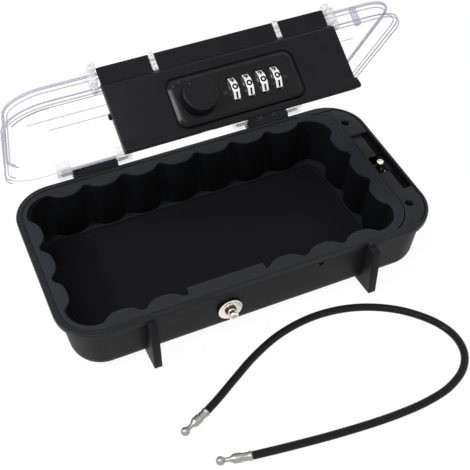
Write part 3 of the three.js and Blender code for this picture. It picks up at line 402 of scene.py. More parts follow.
materials = {
    # The tray's colour is painted darker below z 40: painted shade on its walls.
    "tray_black": moulded("tray_black", (0.0185, 0.019, 0.0222), 0.5, 0.45, 0.015, 0.115, rim=40),
    "foam": foam_finish(),
    "clear_plastic": clear_finish("clear_plastic", (1, 1, 1), (0.5, 0.48, 0.66), 0.012, 0.75),
    "cover_black": moulded("cover_black", (0.0062, 0.0063, 0.0078), 0.44, 0.3, 0.008, 0.125),
    "plate_black": moulded("plate_black", (0.0036, 0.0037, 0.0046), 0.3, 0.25, 0.003, 0.17),
    "knob_black": moulded("knob_black", (0.0048, 0.0049, 0.0058), 0.38, 0.2, 0.004, 0.15, 7),
    "screw_black": plated("screw_black", (0.012, 0.012, 0.013), 0.35, dark=0.7),
    "nickel": plated("nickel", (0.80, 0.765, 0.71), 0.2),
    "dial_silver": plated("dial_silver", (0.86, 0.86, 0.87), 0.3, (1, 0.2, 0.2), 0.4, 0.75),
    "zinc": plated("zinc", (0.42, 0.43, 0.45), 0.42, streak=0.8),
    "spring_steel": plated("spring_steel", (0.34, 0.35, 0.37), 0.3, (0.2, 1, 1)),
    "brass": plated("brass", (0.44, 0.27, 0.08), 0.3, (1, 0.3, 0.3)),
    "cable_black": sheath_finish(),
    "mark_white": printed("mark_white", (0.62, 0.62, 0.62), 0.5),
}
digit_ink = printed("digit_ink", (0.004, 0.004, 0.0045), 0.45)
edge_finish = clear_finish("clear_edges", (0.58, 0.56, 0.73), (0.36, 0.34, 0.5), 0.55, 0.82, 0.12)
# Near-black for lines on the clear lid: painted dark reflection of the dark inside.
painted_dark_fold = clear_finish("clear_fold_dark_reflection", (0.07, 0.065, 0.075), (0.04, 0.04, 0.045), 0.6, 0.9, 0.4)
frosted = clear_finish("frosted_plastic", (1, 1, 1), (0.16, 0.16, 0.17), 0.4, 0.7, 0.9)
clouded = clear_finish("clouded_plastic", (1, 1, 1), (0.55, 0.54, 0.58), 0.14, 0.45, 0.5)
# A paler grey for the foam's edge bead: a painted highlight.
foam_edge_highlight = printed("foam_edge_highlight", (0.05, 0.053, 0.06), 0.7)
dot_grey = printed("knob_dot", (0.09, 0.09, 0.095), 0.5)
# Near-black paint that stands for shade: the hinge lugs' recesses and the port pocket's shadowed half.
painted_shade_black = printed("painted_shade_black", (0.0022, 0.0022, 0.0026), 0.6, 0.04)
crimped = plated("crimped_metal", (0.36, 0.345, 0.32), 0.26, (1, 1, 0.3), 1.0, 0.2)
# Dark steel that stands for shade: the anchor stem and the striker's neck and ring.
painted_shade_steel = plated("painted_shade_steel", (0.06, 0.045, 0.035), 0.4)
mark_finish = moulded("lock_marks", (0.02, 0.02, 0.022), 0.45, 0.25, 0.006, 0.2)
turned_nickel = plated("turned_nickel", (0.95, 0.9, 0.81), 0.26, (1, 0.1, 1), 0.3, 0.8)

# Shaping tools

def arc(x, y, radius, start, end, steps):
    """Points from one angle to another, in turns of a quarter circle, both ends included."""
    return [
        (
            x + radius * math.cos((start + (end - start) * step / steps) * QUARTER),
            y + radius * math.sin((start + (end - start) * step / steps) * QUARTER),
        )
        for step in range(steps + 1)
    ]


def rounded(x0, x1, y0, y1, radius, steps=12):
    """A rectangle's outline with round corners, counter-clockwise."""
    radius = max(radius, 0.01)
    left, right, low, high = x0 + radius, x1 - radius, y0 + radius, y1 - radius
    corners = (right, low), (right, high), (left, high), (left, low)
    return [
        point for turn, (x, y) in enumerate(corners, -1) for point in arc(x, y, radius, turn, turn + 1, steps)
    ]


def rim_outline(inset, steps=16):
    """The rim's outline drawn in by an inset."""
    x, y = half_length - inset, half_depth - inset
    return rounded(-x, x, -y, y, max(rim_radius - inset, rim_thickness), steps)


def rounding(radius, steps):
    """How far a quarter round stands off from a corner's two sides, step by step."""
    angles = [QUARTER * step / steps for step in range(steps + 1)]
    return [(radius * (1 - math.sin(angle)), radius * (1 - math.cos(angle))) for angle in angles]


def span(side, near, far):
    """Two distances on one side of the middle, lower first."""
    return sorted((side * near, side * far))


def at_height(outline, z):
    return [Vector((x, y, z)) for x, y in outline]


def mesh_object(name, shape):
    """An object from a finished bmesh."""
    bmesh.ops.remove_doubles(shape, verts=shape.verts, dist=1e-5)
    bmesh.ops.recalc_face_normals(shape, faces=shape.faces)
    data = bpy.data.meshes.new(name)
    shape.to_mesh(data)
    shape.free()
    made = bpy.data.objects.new(name, data)
    bpy.context.scene.collection.objects.link(made)
    return made


def bridge(shape, rows, inward=False):
    """Faces between rows of equal count."""
    for low, high in zip(rows, rows[1:]):
        for i in range(len(low)):
            j = (i + 1) % len(low)
            if inward:
                shape.faces.new((low[j], low[i], high[i], high[j]))
            else:
                shape.faces.new((low[i], low[j], high[j], high[i]))


def loft(name, loops):
    """A solid through loops of equal count."""
    shape = bmesh.new()
    rows = [[shape.verts.new(point) for point in loop] for loop in loops]
    bridge(shape, rows)
    shape.faces.new(rows[0][::-1])
    shape.faces.new(rows[-1])
    return mesh_object(name, shape)


def prism(name, outline, bottom, top, axes="XYZ", edge=0.0, steps=3):
    """An outline in two axes drawn out along the third, with its cap edges rounded if asked."""
    order = [axes.index(axis) for axis in "XYZ"]

    def ring(height):
        return [Vector([(u, v, height)[k] for k in order]) for u, v in outline]

    made = loft(name, [ring(bottom), ring(top)])
    if edge:
        round_edges(made, edge, steps, 60)
    return made


def box(name, x0, x1, y0, y1, z0, z1, edge=0.0, steps=3):
    made = prism(name, [(x0, y0), (x1, y0), (x1, y1), (x0, y1)], z0, z1)
    if edge:
        round_edges(made, edge, steps, 30)
    return made


def round_edges(made, width, steps=2, above=30):
    """Rounds the edges that are sharper than an angle in degrees."""
    modifier = made.modifiers.new("edges", "BEVEL")
    modifier.width = width
    modifier.segments = steps
    modifier.limit_method = "ANGLE"
    modifier.angle_limit = math.radians(above)
    apply_modifiers(made)


def apply_modifiers(made):
    bpy.context.view_layer.update()
    changed = bpy.data.meshes.new_from_object(made.evaluated_get(bpy.context.evaluated_depsgraph_get()))
    made.modifiers.clear()
    made.data = changed


def combine(made, others, operation):
    """Joins, cuts or keeps the common part with other solids, which are used up."""
    for other in others:
        modifier = made.modifiers.new(operation, "BOOLEAN")
        modifier.operation = operation
        modifier.object = other
        modifier.solver = "EXACT"
        apply_modifiers(made)
        bpy.data.objects.remove(other)
    return made


def cut(made, *tools):
    return combine(made, tools, "DIFFERENCE")


def fuse(made, *others):
    return combine(made, others, "UNION")


def common(made, *others):
    return combine(made, others, "INTERSECT")


def gather(name, pieces):
    """One mesh of several solids that touch no one another."""
    shape = bmesh.new()
    for one in pieces:
        shape.from_mesh(one.data)
        bpy.data.objects.remove(one)
    return mesh_object(name, shape)


def lathe(name, profile, steps=48):
    """A profile of radius and height pairs turned about Z, closed on the axis or on itself."""
    shape = bmesh.new()
    rings = []
    for radius, height in profile:
        if radius < 1e-6:
            rings.append([shape.verts.new((0, 0, height))] * steps)
        else:
            angles = [TURN * k / steps for k in range(steps)]
            rings.append([
                shape.verts.new((radius * math.cos(angle), radius * math.sin(angle), height))
                for angle in angles
            ])
    pairs = list(zip(rings, rings[1:]))
    if profile[0][0] > 1e-6:
        pairs.append((rings[-1], rings[0]))
    for low, high in pairs:
        for k in range(steps):
            corners = [low[k], low[(k + 1) % steps], high[(k + 1) % steps], high[k]]
            unique = list(dict.fromkeys(corners))
            if len(unique) > 2:
                shape.faces.new(unique)
    return mesh_object(name, shape)


def rod(name, radius, bottom, top, steps=48):
    """A plain round post or drill along Z."""
    return lathe(name, [(0, bottom), (radius, bottom), (radius, top), (0, top)], steps)


def outline_bead(name, outline, z, size, keep=lambda x, y: True, sides=8):
    """A thin round bead that follows an outline, where it is kept."""
    shape = bmesh.new()
    rows = []
    for k in range(sides):
        angle = TURN * k / sides
        height = z + size * math.sin(angle)
        rows.append([shape.verts.new((x, y, height)) for x, y in outline(size * math.cos(angle))])
    for low, high in zip(rows, rows[1:] + rows[:1]):
        for i in range(len(low)):
            if keep(low[i].co.x, low[i].co.y) and keep(low[i - 1].co.x, low[i - 1].co.y):
                shape.faces.new((low[i], low[i - 1], high[i - 1], high[i]))
    unused = [vertex for vertex in shape.verts if not vertex.link_faces]
    bmesh.ops.delete(shape, geom=unused, context="VERTS")
    return mesh_object(name, shape)


def soften(profile, radius, steps=4):
    """Rounds the corners of a turned profile, apart from its ends."""
    points = [Vector(point) for point in profile]
    smooth = [points[0]]
    for before, here, after in zip(points, points[1:], points[2:]):
        reach = min(radius, (here - before).length / 2.2, (after - here).length / 2.2)
        start = here + (before - here).normalized() * reach
        end = here + (after - here).normalized() * reach
        smooth += [
            (1 - t) ** 2 * start + 2 * t * (1 - t) * here + t * t * end
            for t in (step / steps for step in range(steps + 1))
        ]
    return [tuple(point) for point in smooth + [points[-1]]]


def moved(made, matrix):
    made.data.transform(matrix)
    return made


def shift(x, y, z=0.0):
    """A move to a place."""
    return Matrix.Translation((x, y, z))


def facing_front(x, z, y=0.0):
    """Turns a lathe's +Z to the front, with its axis at x and z."""
    return shift(x, y, z) @ Matrix.Rotation(QUARTER, 4, "X")


def along_x(x, y, z):
    """Turns a lathe's +Z to +X from a place."""
    return shift(x, y, z) @ Matrix.Rotation(QUARTER, 4, "Y")


def piece(made, body, slot, replaces=(), material=None, sharp=35):
    """Finishes a solid: scale, material, shading, body, slot and the nodes that it stands for.

    Every body but the base and the cable moves with the lid, so its pieces are opened here.
    """
    made.data.transform(Matrix.Scale(MM, 4) @ (Matrix.Identity(4) if body in ("base", "cable") else opened))
    made.data.materials.clear()
    made.data.materials.append(material or materials[slot])
    for face in made.data.polygons:
        face.material_index = 0
    made.data.shade_smooth()
    made.data.set_sharp_from_angle(angle=math.radians(sharp))
    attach(made, body)
    if replaces:
        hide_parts(*replaces)
    return made


def swept(name, route, radius, sides=20):
    """A tube along a route, with its surface coordinates round it and along it in metres."""
    shape = bmesh.new()
    layer = shape.loops.layers.uv.new("UVMap")
    tangent = (route[1] - route[0]).normalized()
    side = tangent.orthogonal().normalized()
    rings, lengths = [], [0.0]
    for i, centre in enumerate(route):
        ahead = route[min(i + 1, len(route) - 1)] - route[max(i - 1, 0)]
        turn = tangent.rotation_difference(ahead.normalized())
        tangent = ahead.normalized()
        side = (turn @ side).normalized()
        other = tangent.cross(side)
        if i:
            lengths.append(lengths[-1] + (centre - route[i - 1]).length)
        rings.append([
            shape.verts.new(centre + radius * (
                math.cos(TURN * k / sides) * side + math.sin(TURN * k / sides) * other
            ))
            for k in range(sides)
        ])
    for i, (low, high) in enumerate(zip(rings, rings[1:])):
        for k in range(sides):
            face = shape.faces.new((low[k], low[(k + 1) % sides], high[(k + 1) % sides], high[k]))
            spots = ((k, i), (k + 1, i), (k + 1, i + 1), (k, i + 1))
            for corner, (u, v) in zip(face.loops, spots):
                corner[layer].uv = (u / sides, lengths[v] * MM)
    shape.faces.new(rings[0][::-1])
    shape.faces.new(rings[-1])
    return mesh_object(name, shape), lengths[-1]


# Tray

def wall_inset(z):
    return rim_overhang + (rim_z - z) * draft_slope


def liner_outline(inset, steps=14):
    x0, x1, y = -ledge_x + inset, bay_x - inset, ledge_y - inset
    return rounded(x0, x1, -y, y, liner_radius - inset, steps)


def wall_at(z):
    """How far the front wall's outer face lies from the middle at a height."""
    return half_depth - wall_inset(z)


def tray_round(thickness, low, radius, steps=10):
    """Loops up the round between the bottom and the wall, drawn in by a wall thickness."""
    return [
        at_height(rim_outline(wall_inset(low + rise) + thickness + inset), low + rise)
        for inset, rise in rounding(radius, steps)
    ]


def flange_loops(bottom, top):
    """Loops up a flat rim whose two edges are rounded."""
    round_edge = rounding(rim_edge, 4)
    return (
        [at_height(rim_outline(inset), bottom + rise) for inset, rise in round_edge]
        + [at_height(rim_outline(inset), top - drop) for drop, inset in round_edge]
    )


def tray_room(name, thickness):
    """The space inside the wall, open past the rim."""
    top = rim_z + OVERRUN
    loops = tray_round(thickness, floor_thickness, base_round - thickness)
    return loft(name, loops + [at_height(rim_outline(wall_inset(top) + thickness), top)])


def tray_body():
    under = rim_z - rim_thickness
    fillet = [
        at_height(rim_outline(wall_inset(under) - swell), under - drop)
        for drop, swell in rounding(under_round, 4)
    ]
    outside = loft("tray_body", tray_round(0, 0, base_round) + fillet + flange_loops(under, rim_z))
    lip_y = ledge_y + front_lip
    cut(outside, box("relief", -fin_inner, fin_inner, -FAR, -lip_y, under - under_round, rim_z + OVERRUN))
    boss = (stud_high.x - stud_low.x) / 2
    pad = [(0, 0), (boss + 0.6, 0), (boss, washer_back - wall_at(0)), (0, washer_back - wall_at(0))]
    fuse(outside, moved(lathe("pad", pad), facing_front(stud_x, stud_z, -wall_at(0))))
    for side in (-1, 1):
        fuse(outside, tray_fin(side), hinge_lug(side))
    cavity = common(tray_room("cavity", wall), prism("limit", liner_outline(0), 0, rim_z + OVERRUN))
    cut(outside, cavity, prism("ledge", liner_outline(0), rim_z - ledge_depth, rim_z + OVERRUN))
    cut(outside, *bay_tools())
    notch_y = -(wall_at(notch_z) - notch_depth)
    notch_low, notch_high = notch_z - 1.8, notch_z + 1.8
    notch = [(notch_x - notch_half, notch_high), (notch_x, notch_low), (notch_x + notch_half, notch_high)]
    cut(outside, prism("notch", notch, -half_depth - OVERRUN, notch_y, "XZY"))
    cut(outside, moved(rod("hole", stud_hole, -12, OVERRUN), facing_front(stud_x, stud_z, -wall_top_y)))
    cut(outside, moved(rod("exit", cable_hole, 0, 14), along_x(half_length - 10.4, exit_y, exit_z)))
    return piece(outside, "base", "tray_black", ["tray_shell"])


def tray_fin(side):
    """A front fin with its top sloping down and forward."""
    front, inside, foot = -fin_front, -(wall_top_y - 2.4), -(wall_top_y - 13)
    low, front_low, front_top, top = 0.3, 3, 38.2, 40.4
    outline = [(foot, low), (front, front_low), (front, front_top), (inside, top), (foot, top)]
    return prism("fin", outline, *span(side, fin_inner, fin_outer), "YZX", 0.45)


def hinge_lug(side):
    x0, x1 = side * lug_x - lug_half, side * lug_x + lug_half
    y, z, reach, top = hinge_place.y, hinge_place.z, lug_reach, lug_top
    outline = [
        (wall_top_y, rim_z), (y - reach + 0.1, rim_z), (y - reach + 1.0, top), (y + reach - 1, top),
        (y + reach, top - 1.2), (y + reach, rim_z - rim_thickness), (wall_top_y, rim_z - rim_thickness),
    ]
    lug = prism("lug", outline, x0, x1, "YZX", 0.35)
    return cut(lug, moved(rod("bore", hinge_bore, 0, 60, 24), along_x(x0 - 10, y, z)))


def lug_pads(side):
    """Three near-black pads let into the top of a hinge lug: painted shade that stands for recesses in its top."""
    y, half, pitch = hinge_place.y, 3.9, 9.6
    pads = [
        box("pad", x - half, x + half, y - 1.5, y + 1.7, lug_top - 0.1, lug_top + 0.06, 0.05, 1)
        for x in (side * lug_x + step * pitch for step in (-1, 0, 1))
    ]
    name = "lug_shade_pads_left" if side < 0 else "lug_shade_pads_right"
    return piece(gather(name, pads), "base", "tray_black", material=painted_shade_black)


def bay_outline(inset):
    """The end of the rim's inside that the liner leaves free, as an outline."""
    x, y = half_length - bay_inset - inset, half_depth - bay_inset - inset
    radius = rim_radius - bay_inset - inset
    return rounded(-x, x, -y, y, radius, 24)


def bay_solid(name, inset, bottom, top):
    made = prism(name, bay_outline(inset), bottom, top)
    end = half_depth - bay_end - inset
    common(made, box("limit", 0, half_length, -end, end, bottom, top))
    return cut(made, prism("liner", liner_outline(-inset), bottom - OVERRUN, top + OVERRUN))


def bay_tools():
    low = port_low.z - GAP
    room = box("room", bay_x + bay_wall, room_end, -room_half, room_half, room_floor, low + OVERRUN)
    common(room, tray_room("inside", 1.0))
    for side in (-1, 1):
        cut(room, moved(rod("boss", screw_boss, 0, low), shift(screw_x, side * screw_y)))
    return room, bay_solid("seat", -GAP / 2, low, rim_z + OVERRUN)


tray_body()

# Foam lining

def lining():
    """The scalloped foam with its cove at the floor, as one pad."""
    left, right, front = -112.85, bay_x - 7.2, wall_top_y - 5.4
    radius, swell, lobe_steps, lobe_share = 16, 5.2, 30, 0.86
    floor, foam_draft = pad_high.z, 0.06
    edge, ledge, cove_rise, cove_reach = 0.6, floor + 2.8, 2.5, 2.2

    def side_points(start, end, inward, pitch, flat=None):
        length = (end - start).length
        lobes = max(1, round(length / pitch))
        total = lobes * lobe_steps
        made = []
        for step in range(total):
            lobe, part = divmod(step, lobe_steps)
            share = (lobe + (1 - math.cos(math.pi * part / lobe_steps)) / 2) / lobes
            spot = start.lerp(end, share)
            across = 2 * (share * lobes - lobe) - 1
            height = 1 - (abs(across) / lobe_share) ** 2.8
            wave = (height + math.hypot(height, 0.2)) / 2
            if flat and flat[0] < spot.x < flat[1]:
                wave = 1.0
            made.append((spot, inward, wave))
        return made

    def corner_points(x, y, turn):
        return [
            (Vector(point), Vector((x, y)) - Vector(point), 0.0)
            for point in arc(x, y, radius, turn, turn + 1, 12)[1:-1]
        ]

    x0, x1, y = left + radius, right - radius, front - radius
    corners = [(x1, -y, 3), (x1, y, 0), (x0, y, 1), (x0, -y, 2)]
    long_pitch, end_pitch, flat_stretch = 26.3, 29, (-44, 4)
    spots = []
    sides = [
        ((x0, -front), (x1, -front), (0, 1), long_pitch, flat_stretch),
        ((right, -y), (right, y), (-1, 0), end_pitch, None),
        ((x1, front), (x0, front), (0, -1), long_pitch, None),
        ((left, y), (left, -y), (1, 0), end_pitch, None),
    ]
    for (start, end, inward, pitch, flat), corner in zip(sides, corners):
        spots += side_points(Vector(start), Vector(end), Vector(inward), pitch, flat)
        spots += corner_points(*corner)

    def inner_loop(z, inset, fill=0.0):
        """The cavity's edge at a height, with the valleys filled by an amount."""
        loop = []
        for spot, inward, wave in spots:
            reach = swell * wave
            if fill:
                reach = (reach + fill + math.hypot(reach - fill, 1) - 1) / 2
            point = spot + inward.normalized() * (reach + inset + (rim_z - z) * foam_draft)
            loop.append(Vector((point.x, point.y, z)))
        return loop

    outer = resampled(liner_outline(GAP), spots)
    under_flange = rim_z - ledge_depth + GAP / 2
    shrunk = resampled(liner_outline(GAP + edge / 2), spots)
    loops = [at_height(outer, under_flange), at_height(outer, rim_z - edge / 2), at_height(shrunk, rim_z)]
    loops += [inner_loop(rim_z - drop, -inset) for inset, drop in rounding(edge, 4)]
    loops += [inner_loop(ledge + 0.5, 0), inner_loop(ledge + 0.15, 0.1, 0.6)]
    loops.append(inner_loop(ledge, 0.2, swell - 0.4))
    loops += [
        inner_loop(floor + cove_rise * rise, 0.4 + cove_reach * inset, swell)
        for rise, inset in rounding(1, 8)
    ]
    base = loops[-1]
    centre = Vector(((left + right) / 2, 0, floor))
    for share in (0.93, 0.8, 0.6, 0.35):
        loops.append([centre + (point - centre) * share for point in base])
    shape = bmesh.new()
    rows = [[shape.verts.new(point) for point in loop] for loop in loops]
    bridge(shape, rows)
    shape.faces.new(rows[-1])
    wall_x, wall_y, low_x, low_y, bend_z = 111.4, 55.4, 103, 47, 12
    wall_line = resampled(rounded(-wall_x, bay_x - GAP, -wall_y, wall_y, 17, 14), spots)
    low_line = resampled(rounded(-low_x, bay_x - 4, -low_y, low_y, 10, 14), spots)
    skirt = [at_height(wall_line, under_flange), at_height(wall_line, bend_z), at_height(low_line, pad_low.z)]
    lower = [rows[0]] + [[shape.verts.new(point) for point in loop] for loop in skirt]
    bridge(shape, lower, inward=True)
    shape.faces.new(lower[-1][::-1])
    made = mesh_object("foam_lining", shape)
    piece(made, "base", "foam", ["foam_liner", "foam_floor_pad"], sharp=50)


def resampled(outline, spots):
    """Points on an outline, one straight out from each spot of another loop."""
    line = [Vector(point) for point in outline]
    found = []
    for spot, inward, _ in spots:
        out = -inward.normalized()
        best, reach = None, math.inf
        for a, b in zip(line, line[1:] + line[:1]):
            along = b - a
            cross = out.x * along.y - out.y * along.x
            if abs(cross) < 1e-9:
                continue
            gap = a - spot
            distance = (gap.x * along.y - gap.y * along.x) / cross
            share = (gap.x * out.y - gap.y * out.x) / cross
            if -1e-6 <= share <= 1 + 1e-6 and abs(distance) < reach:
                best, reach = spot + out * distance, abs(distance)
        found.append((best.x, best.y))
    return found


lining()

# A paler bead along the foam's top edge at the right end: a painted highlight where that edge catches the light.
bead = outline_bead(
    "foam_edge_highlight_line", lambda inset: liner_outline(0.7 + inset), rim_z - 0.02, 0.3, lambda x, y: x > 70,
)
piece(bead, "base", "foam", material=foam_edge_highlight)
for side in (-1, 1):
    lug_pads(side)

# Cable port, screws, anchor pin and striker

pin_low, pin_high = node_box("cable_anchor_pin")
pin_x, pin_y, _ = middles(pin_low, pin_high)
pocket_y, pocket_left, pocket_floor = 29, bay_x + 1.2, port_high.z - 2.2
port_slot_sides = 105.8, 116.6, -9.6, 6.9
hub_radius, pin_bore, arm_thickness = 2.6, 1.7, 0.8
screw_sink = 1.4
drive_angle = -23.5


def port_slot():
    return prism("slot", rounded(*port_slot_sides, 1.2), 0, port_high.z + OVERRUN)


def port_plate():
    top, low = port_high.z, port_low.z
    plate = bay_solid("port_plate", GAP, low, top)
    round_edges(plate, 0.4, 3, 50)
    flare = 0.7
    half = (
        [(pocket_y, pocket_floor)] + arc(pocket_y + flare, top - flare, flare, 2, 1, 6)
        + [(pocket_y + flare, top + OVERRUN)]
    )
    outline = half + [(-y, z) for y, z in half[::-1]]
    pocket = prism("pocket", outline, pocket_left, half_length, "YZX")
    edge_x, bend_x, foot_x, end_x = 112.3, 113.4, 114.1, 119
    slope = prism("slope", [
        (edge_x, pocket_floor + 0.1), (bend_x, pocket_floor - 0.25), (foot_x, low + 0.3), (end_x, low + 0.3),
        (end_x, top + OVERRUN), (edge_x, top + OVERRUN),
    ], -pocket_y + 0.02, pocket_y - 0.02, "XZY")
    cut(plate, pocket, slope, port_slot())
    hub = moved(rod("hub", hub_radius, low, low + arm_thickness), shift(pin_x, pin_y))
    fuse(plate, box("arm", 105, pin_x, pin_y - 1, pin_y + 1, low, low + arm_thickness), hub)
    cut(plate, moved(rod("bore", pin_bore, 0, 60), shift(pin_x, pin_y)))
    for side in (-1, 1):
        pit = lathe("pit", [
            (0, top - 2.2), (2.5, top - 2.2), (2.65, top - 0.3), (2.9, top + 0.1), (2.9, 50), (0, 50),
        ])
        for tool in (pit, rod("hole", 1.5, 0, top)):
            cut(plate, moved(tool, shift(screw_x, side * screw_y)))
    # A near-black sheet low in the pocket's right half: painted shade, where the pocket lies in shadow by its end
    # wall.
    shade = box("port_shade", 112.9, 117.7, -pocket_y + 0.1, pocket_y - 0.1, low + 0.4, pocket_floor - 0.05)
    cut(shade, port_slot())
    piece(shade, "base", "tray_black", material=painted_shade_black)
    return piece(plate, "base", "tray_black", ["cable_port_plate"])


def anchor_pin():
    """A round button head on a stem that stands in the slot."""
    seat, top, head = pocket_floor + 0.3, pin_high.z + 1.2, 2.6
    stem_radius, stem_foot = 1.3, 31
    # The stem is dark steel: painted shade, as it stands down in the dark slot.
    stem = rod("anchor_stem", stem_radius, stem_foot, seat - 0.05, 32)
    piece(moved(stem, shift(pin_x, pin_y)), "base", "nickel", material=painted_shade_steel)
    profile = [(0, seat), (head - 0.3, seat), (head, seat + 0.3), (head, seat + 0.7)]
    profile += [
        (head * math.cos(angle), seat + 0.7 + (top - seat - 0.7) * math.sin(angle))
        for angle in (QUARTER * step / 8 for step in range(1, 9))
    ]
    made = lathe("anchor_pin", profile[:-1] + [(0, top)])
    cut(made, box("drive", -4, 4, -0.35, 0.35, top - 1.0, top + 1))
    moved(made, shift(pin_x, pin_y) @ Matrix.Rotation(math.radians(drive_angle), 4, "Z"))
    return piece(made, "base", "nickel", ["cable_anchor_pin"])


def port_screw(name, side, node):
    """A countersunk black screw with a cross recess."""
    low = node_box(node)[0].z
    top = port_high.z - screw_sink
    shank, head = 1.1, 2.2
    profile = soften([
        (0, low), (shank, low), (shank, top - 0.8), (head, top - 0.6), (head, top - 0.2), (0, top),
    ], 0.2)
    made = lathe(name, profile, 32)
    for turn in (0.35, 1.35):
        groove = box("groove", -1.5, 1.5, -0.25, 0.25, top - 0.7, top + 1)
        cut(made, moved(groove, Matrix.Rotation(turn * QUARTER, 4, "Z")))
    moved(made, shift(screw_x, side * screw_y))
    return piece(made, "base", "screw_black", [node])


def striker():
    """The stud that the lock catches, and the washer under it."""
    head_front = -node_box("striker_stud")[0].y - stud_root
    front = -stud_low.y
    collar = front + GAP - stud_root
    shank, head, neck_radius = 2.5, 2.9, 1.6
    head_back, neck_start = head_front - 1.3, head_front - 3.4
    cap = lathe("striker_cap", soften([
        (0, head_back), (head, head_back), (head, head_front - 0.4), (head - 0.9, head_front),
        (0, head_front),
    ], 0.3))
    # The neck and a ring at the collar are dark steel: painted shade around the stud's neck, under its head.
    neck = rod("striker_neck", neck_radius, neck_start, head_back, 40)
    shadow = lathe("striker_shadow_ring", [
        (2.4, collar), (3.5, collar), (3.5, collar + 0.25), (3.2, collar + 0.4), (2.4, collar + 0.5),
    ])
    dark = gather("striker_neck_shade", [neck, shadow])
    post = lathe("striker_post", soften([
        (0, 0), (shank, 0), (shank, collar + 1), (shank, neck_start), (0, neck_start),
    ], 0.22))
    parts = (cap, turned_nickel, []), (dark, painted_shade_steel, []), (post, None, ["striker_stud"])
    for part, finish, nodes in parts:
        moved(part, facing_front(stud_x, stud_z, -stud_root))
        piece(part, "base", "nickel", nodes, material=finish)
    radius, bore, thick = (stud_high.x - stud_low.x) / 2, 2.8, front - washer_back
    ring = lathe("striker_disc", [
        (bore, 0), (radius - 0.2, 0), (radius, 0.2), (radius, thick - 0.35), (radius - 0.35, thick),
        (bore + 0.5, thick), (bore, thick - 0.1),
    ], 72)
    moved(ring, facing_front(stud_x, stud_z, -washer_back))
    return piece(ring, "base", "nickel", ["striker_washer"], material=turned_nickel)


port_plate()
anchor_pin()
port_screw("port_screw_black_front", -1, "port_screw_front")
port_screw("port_screw_black_back", 1, "port_screw_back")
striker()

# Lid, shaped closed

lid_z = rim_z + GAP
lid_top = lid_z + 12.7
flange_top = lid_z + 3
crown_inset, crown_wall, crown_round = 2.5, 2.2, 4
inner_rib, end_rib = 35.6, 69
skirt_x, skirt_low, skirt_front, skirt_back = 66.2, 8, 63.95, 61.95
cover_low_corner, cover_high_corner = node_box("lock_cover", closed=True)
cover_x, cover_low, strip_top = cover_high_corner.x, cover_low_corner.z, cover_high_corner.z
cover_face, strip_front, cover_back, shoulder_z = 70.55, 65.6, 65.2, 43.4
right_trim = 1.2
plate_box = node_box("lock_plate", closed=True)
plate_x, _, plate_z = middles(*plate_box)
plate_half_x, plate_half_z = (plate_box[1].x - plate_box[0].x) / 2, (plate_box[1].z - plate_box[0].z) / 2
plate_front, plate_back = -plate_box[0].y, -plate_box[1].y
knob_box = node_box("knob", closed=True)
knob_x, _, knob_z = middles(*knob_box)
dial_boxes = [node_box(f"dial_{i + 1}", closed=True) for i in range(4)]
dial_places = [(low + high) / 2 for low, high in dial_boxes]
dial_width = dial_boxes[0][1].x - dial_boxes[0][0].x
dial_radius = 7.3
dial_flat = dial_radius * math.cos(math.radians(18))
dial_y, dial_z = -68.35, dial_places[0].z
slot_half_x, slot_half_z = 2.2, 7.5
rib_front, entry_half, button_bore, axle_bore = -66.1, 4.4, 1.9, 1.4
knuckle_start, knuckle_width, knuckle_radius = 15.4, 9.4, 2.9


def crown(name, inset, top, radius, low, steps=12):
    """A lid shape with a round top edge."""
    loops = [at_height(rim_outline(inset), low)]
    loops += [at_height(rim_outline(inset + inward), top - drop) for drop, inward in rounding(radius, steps)]
    return loft(name, loops)


def lid_fit(made):
    """The shell draws in a little towards its ends, more at the right."""
    straight, right_share, left_share = 80, 0.06, 0.02
    for vertex in made.data.vertices:
        x = vertex.co.x
        vertex.co.x -= max(0.0, x - straight) * right_share + min(0.0, x + straight) * left_share
    return made


def knuckle(x0, x1):
    """One of the lid's hinge loops with its arm."""
    y, z = hinge_place.y, hinge_place.z
    arm_y, arm_turn = half_depth - crown_inset - crown_wall / 2, -1.73
    outline = [(arm_y, lid_z)] + arc(y, z, knuckle_radius, arm_turn, 1, 24) + [(arm_y, z + knuckle_radius)]
    made = prism("knuckle", outline, x0, x1, "YZX", 0.4)
    return cut(made, moved(rod("bore", hinge_bore, 0, 20, 24), along_x(x0 - OVERRUN, y, z)))


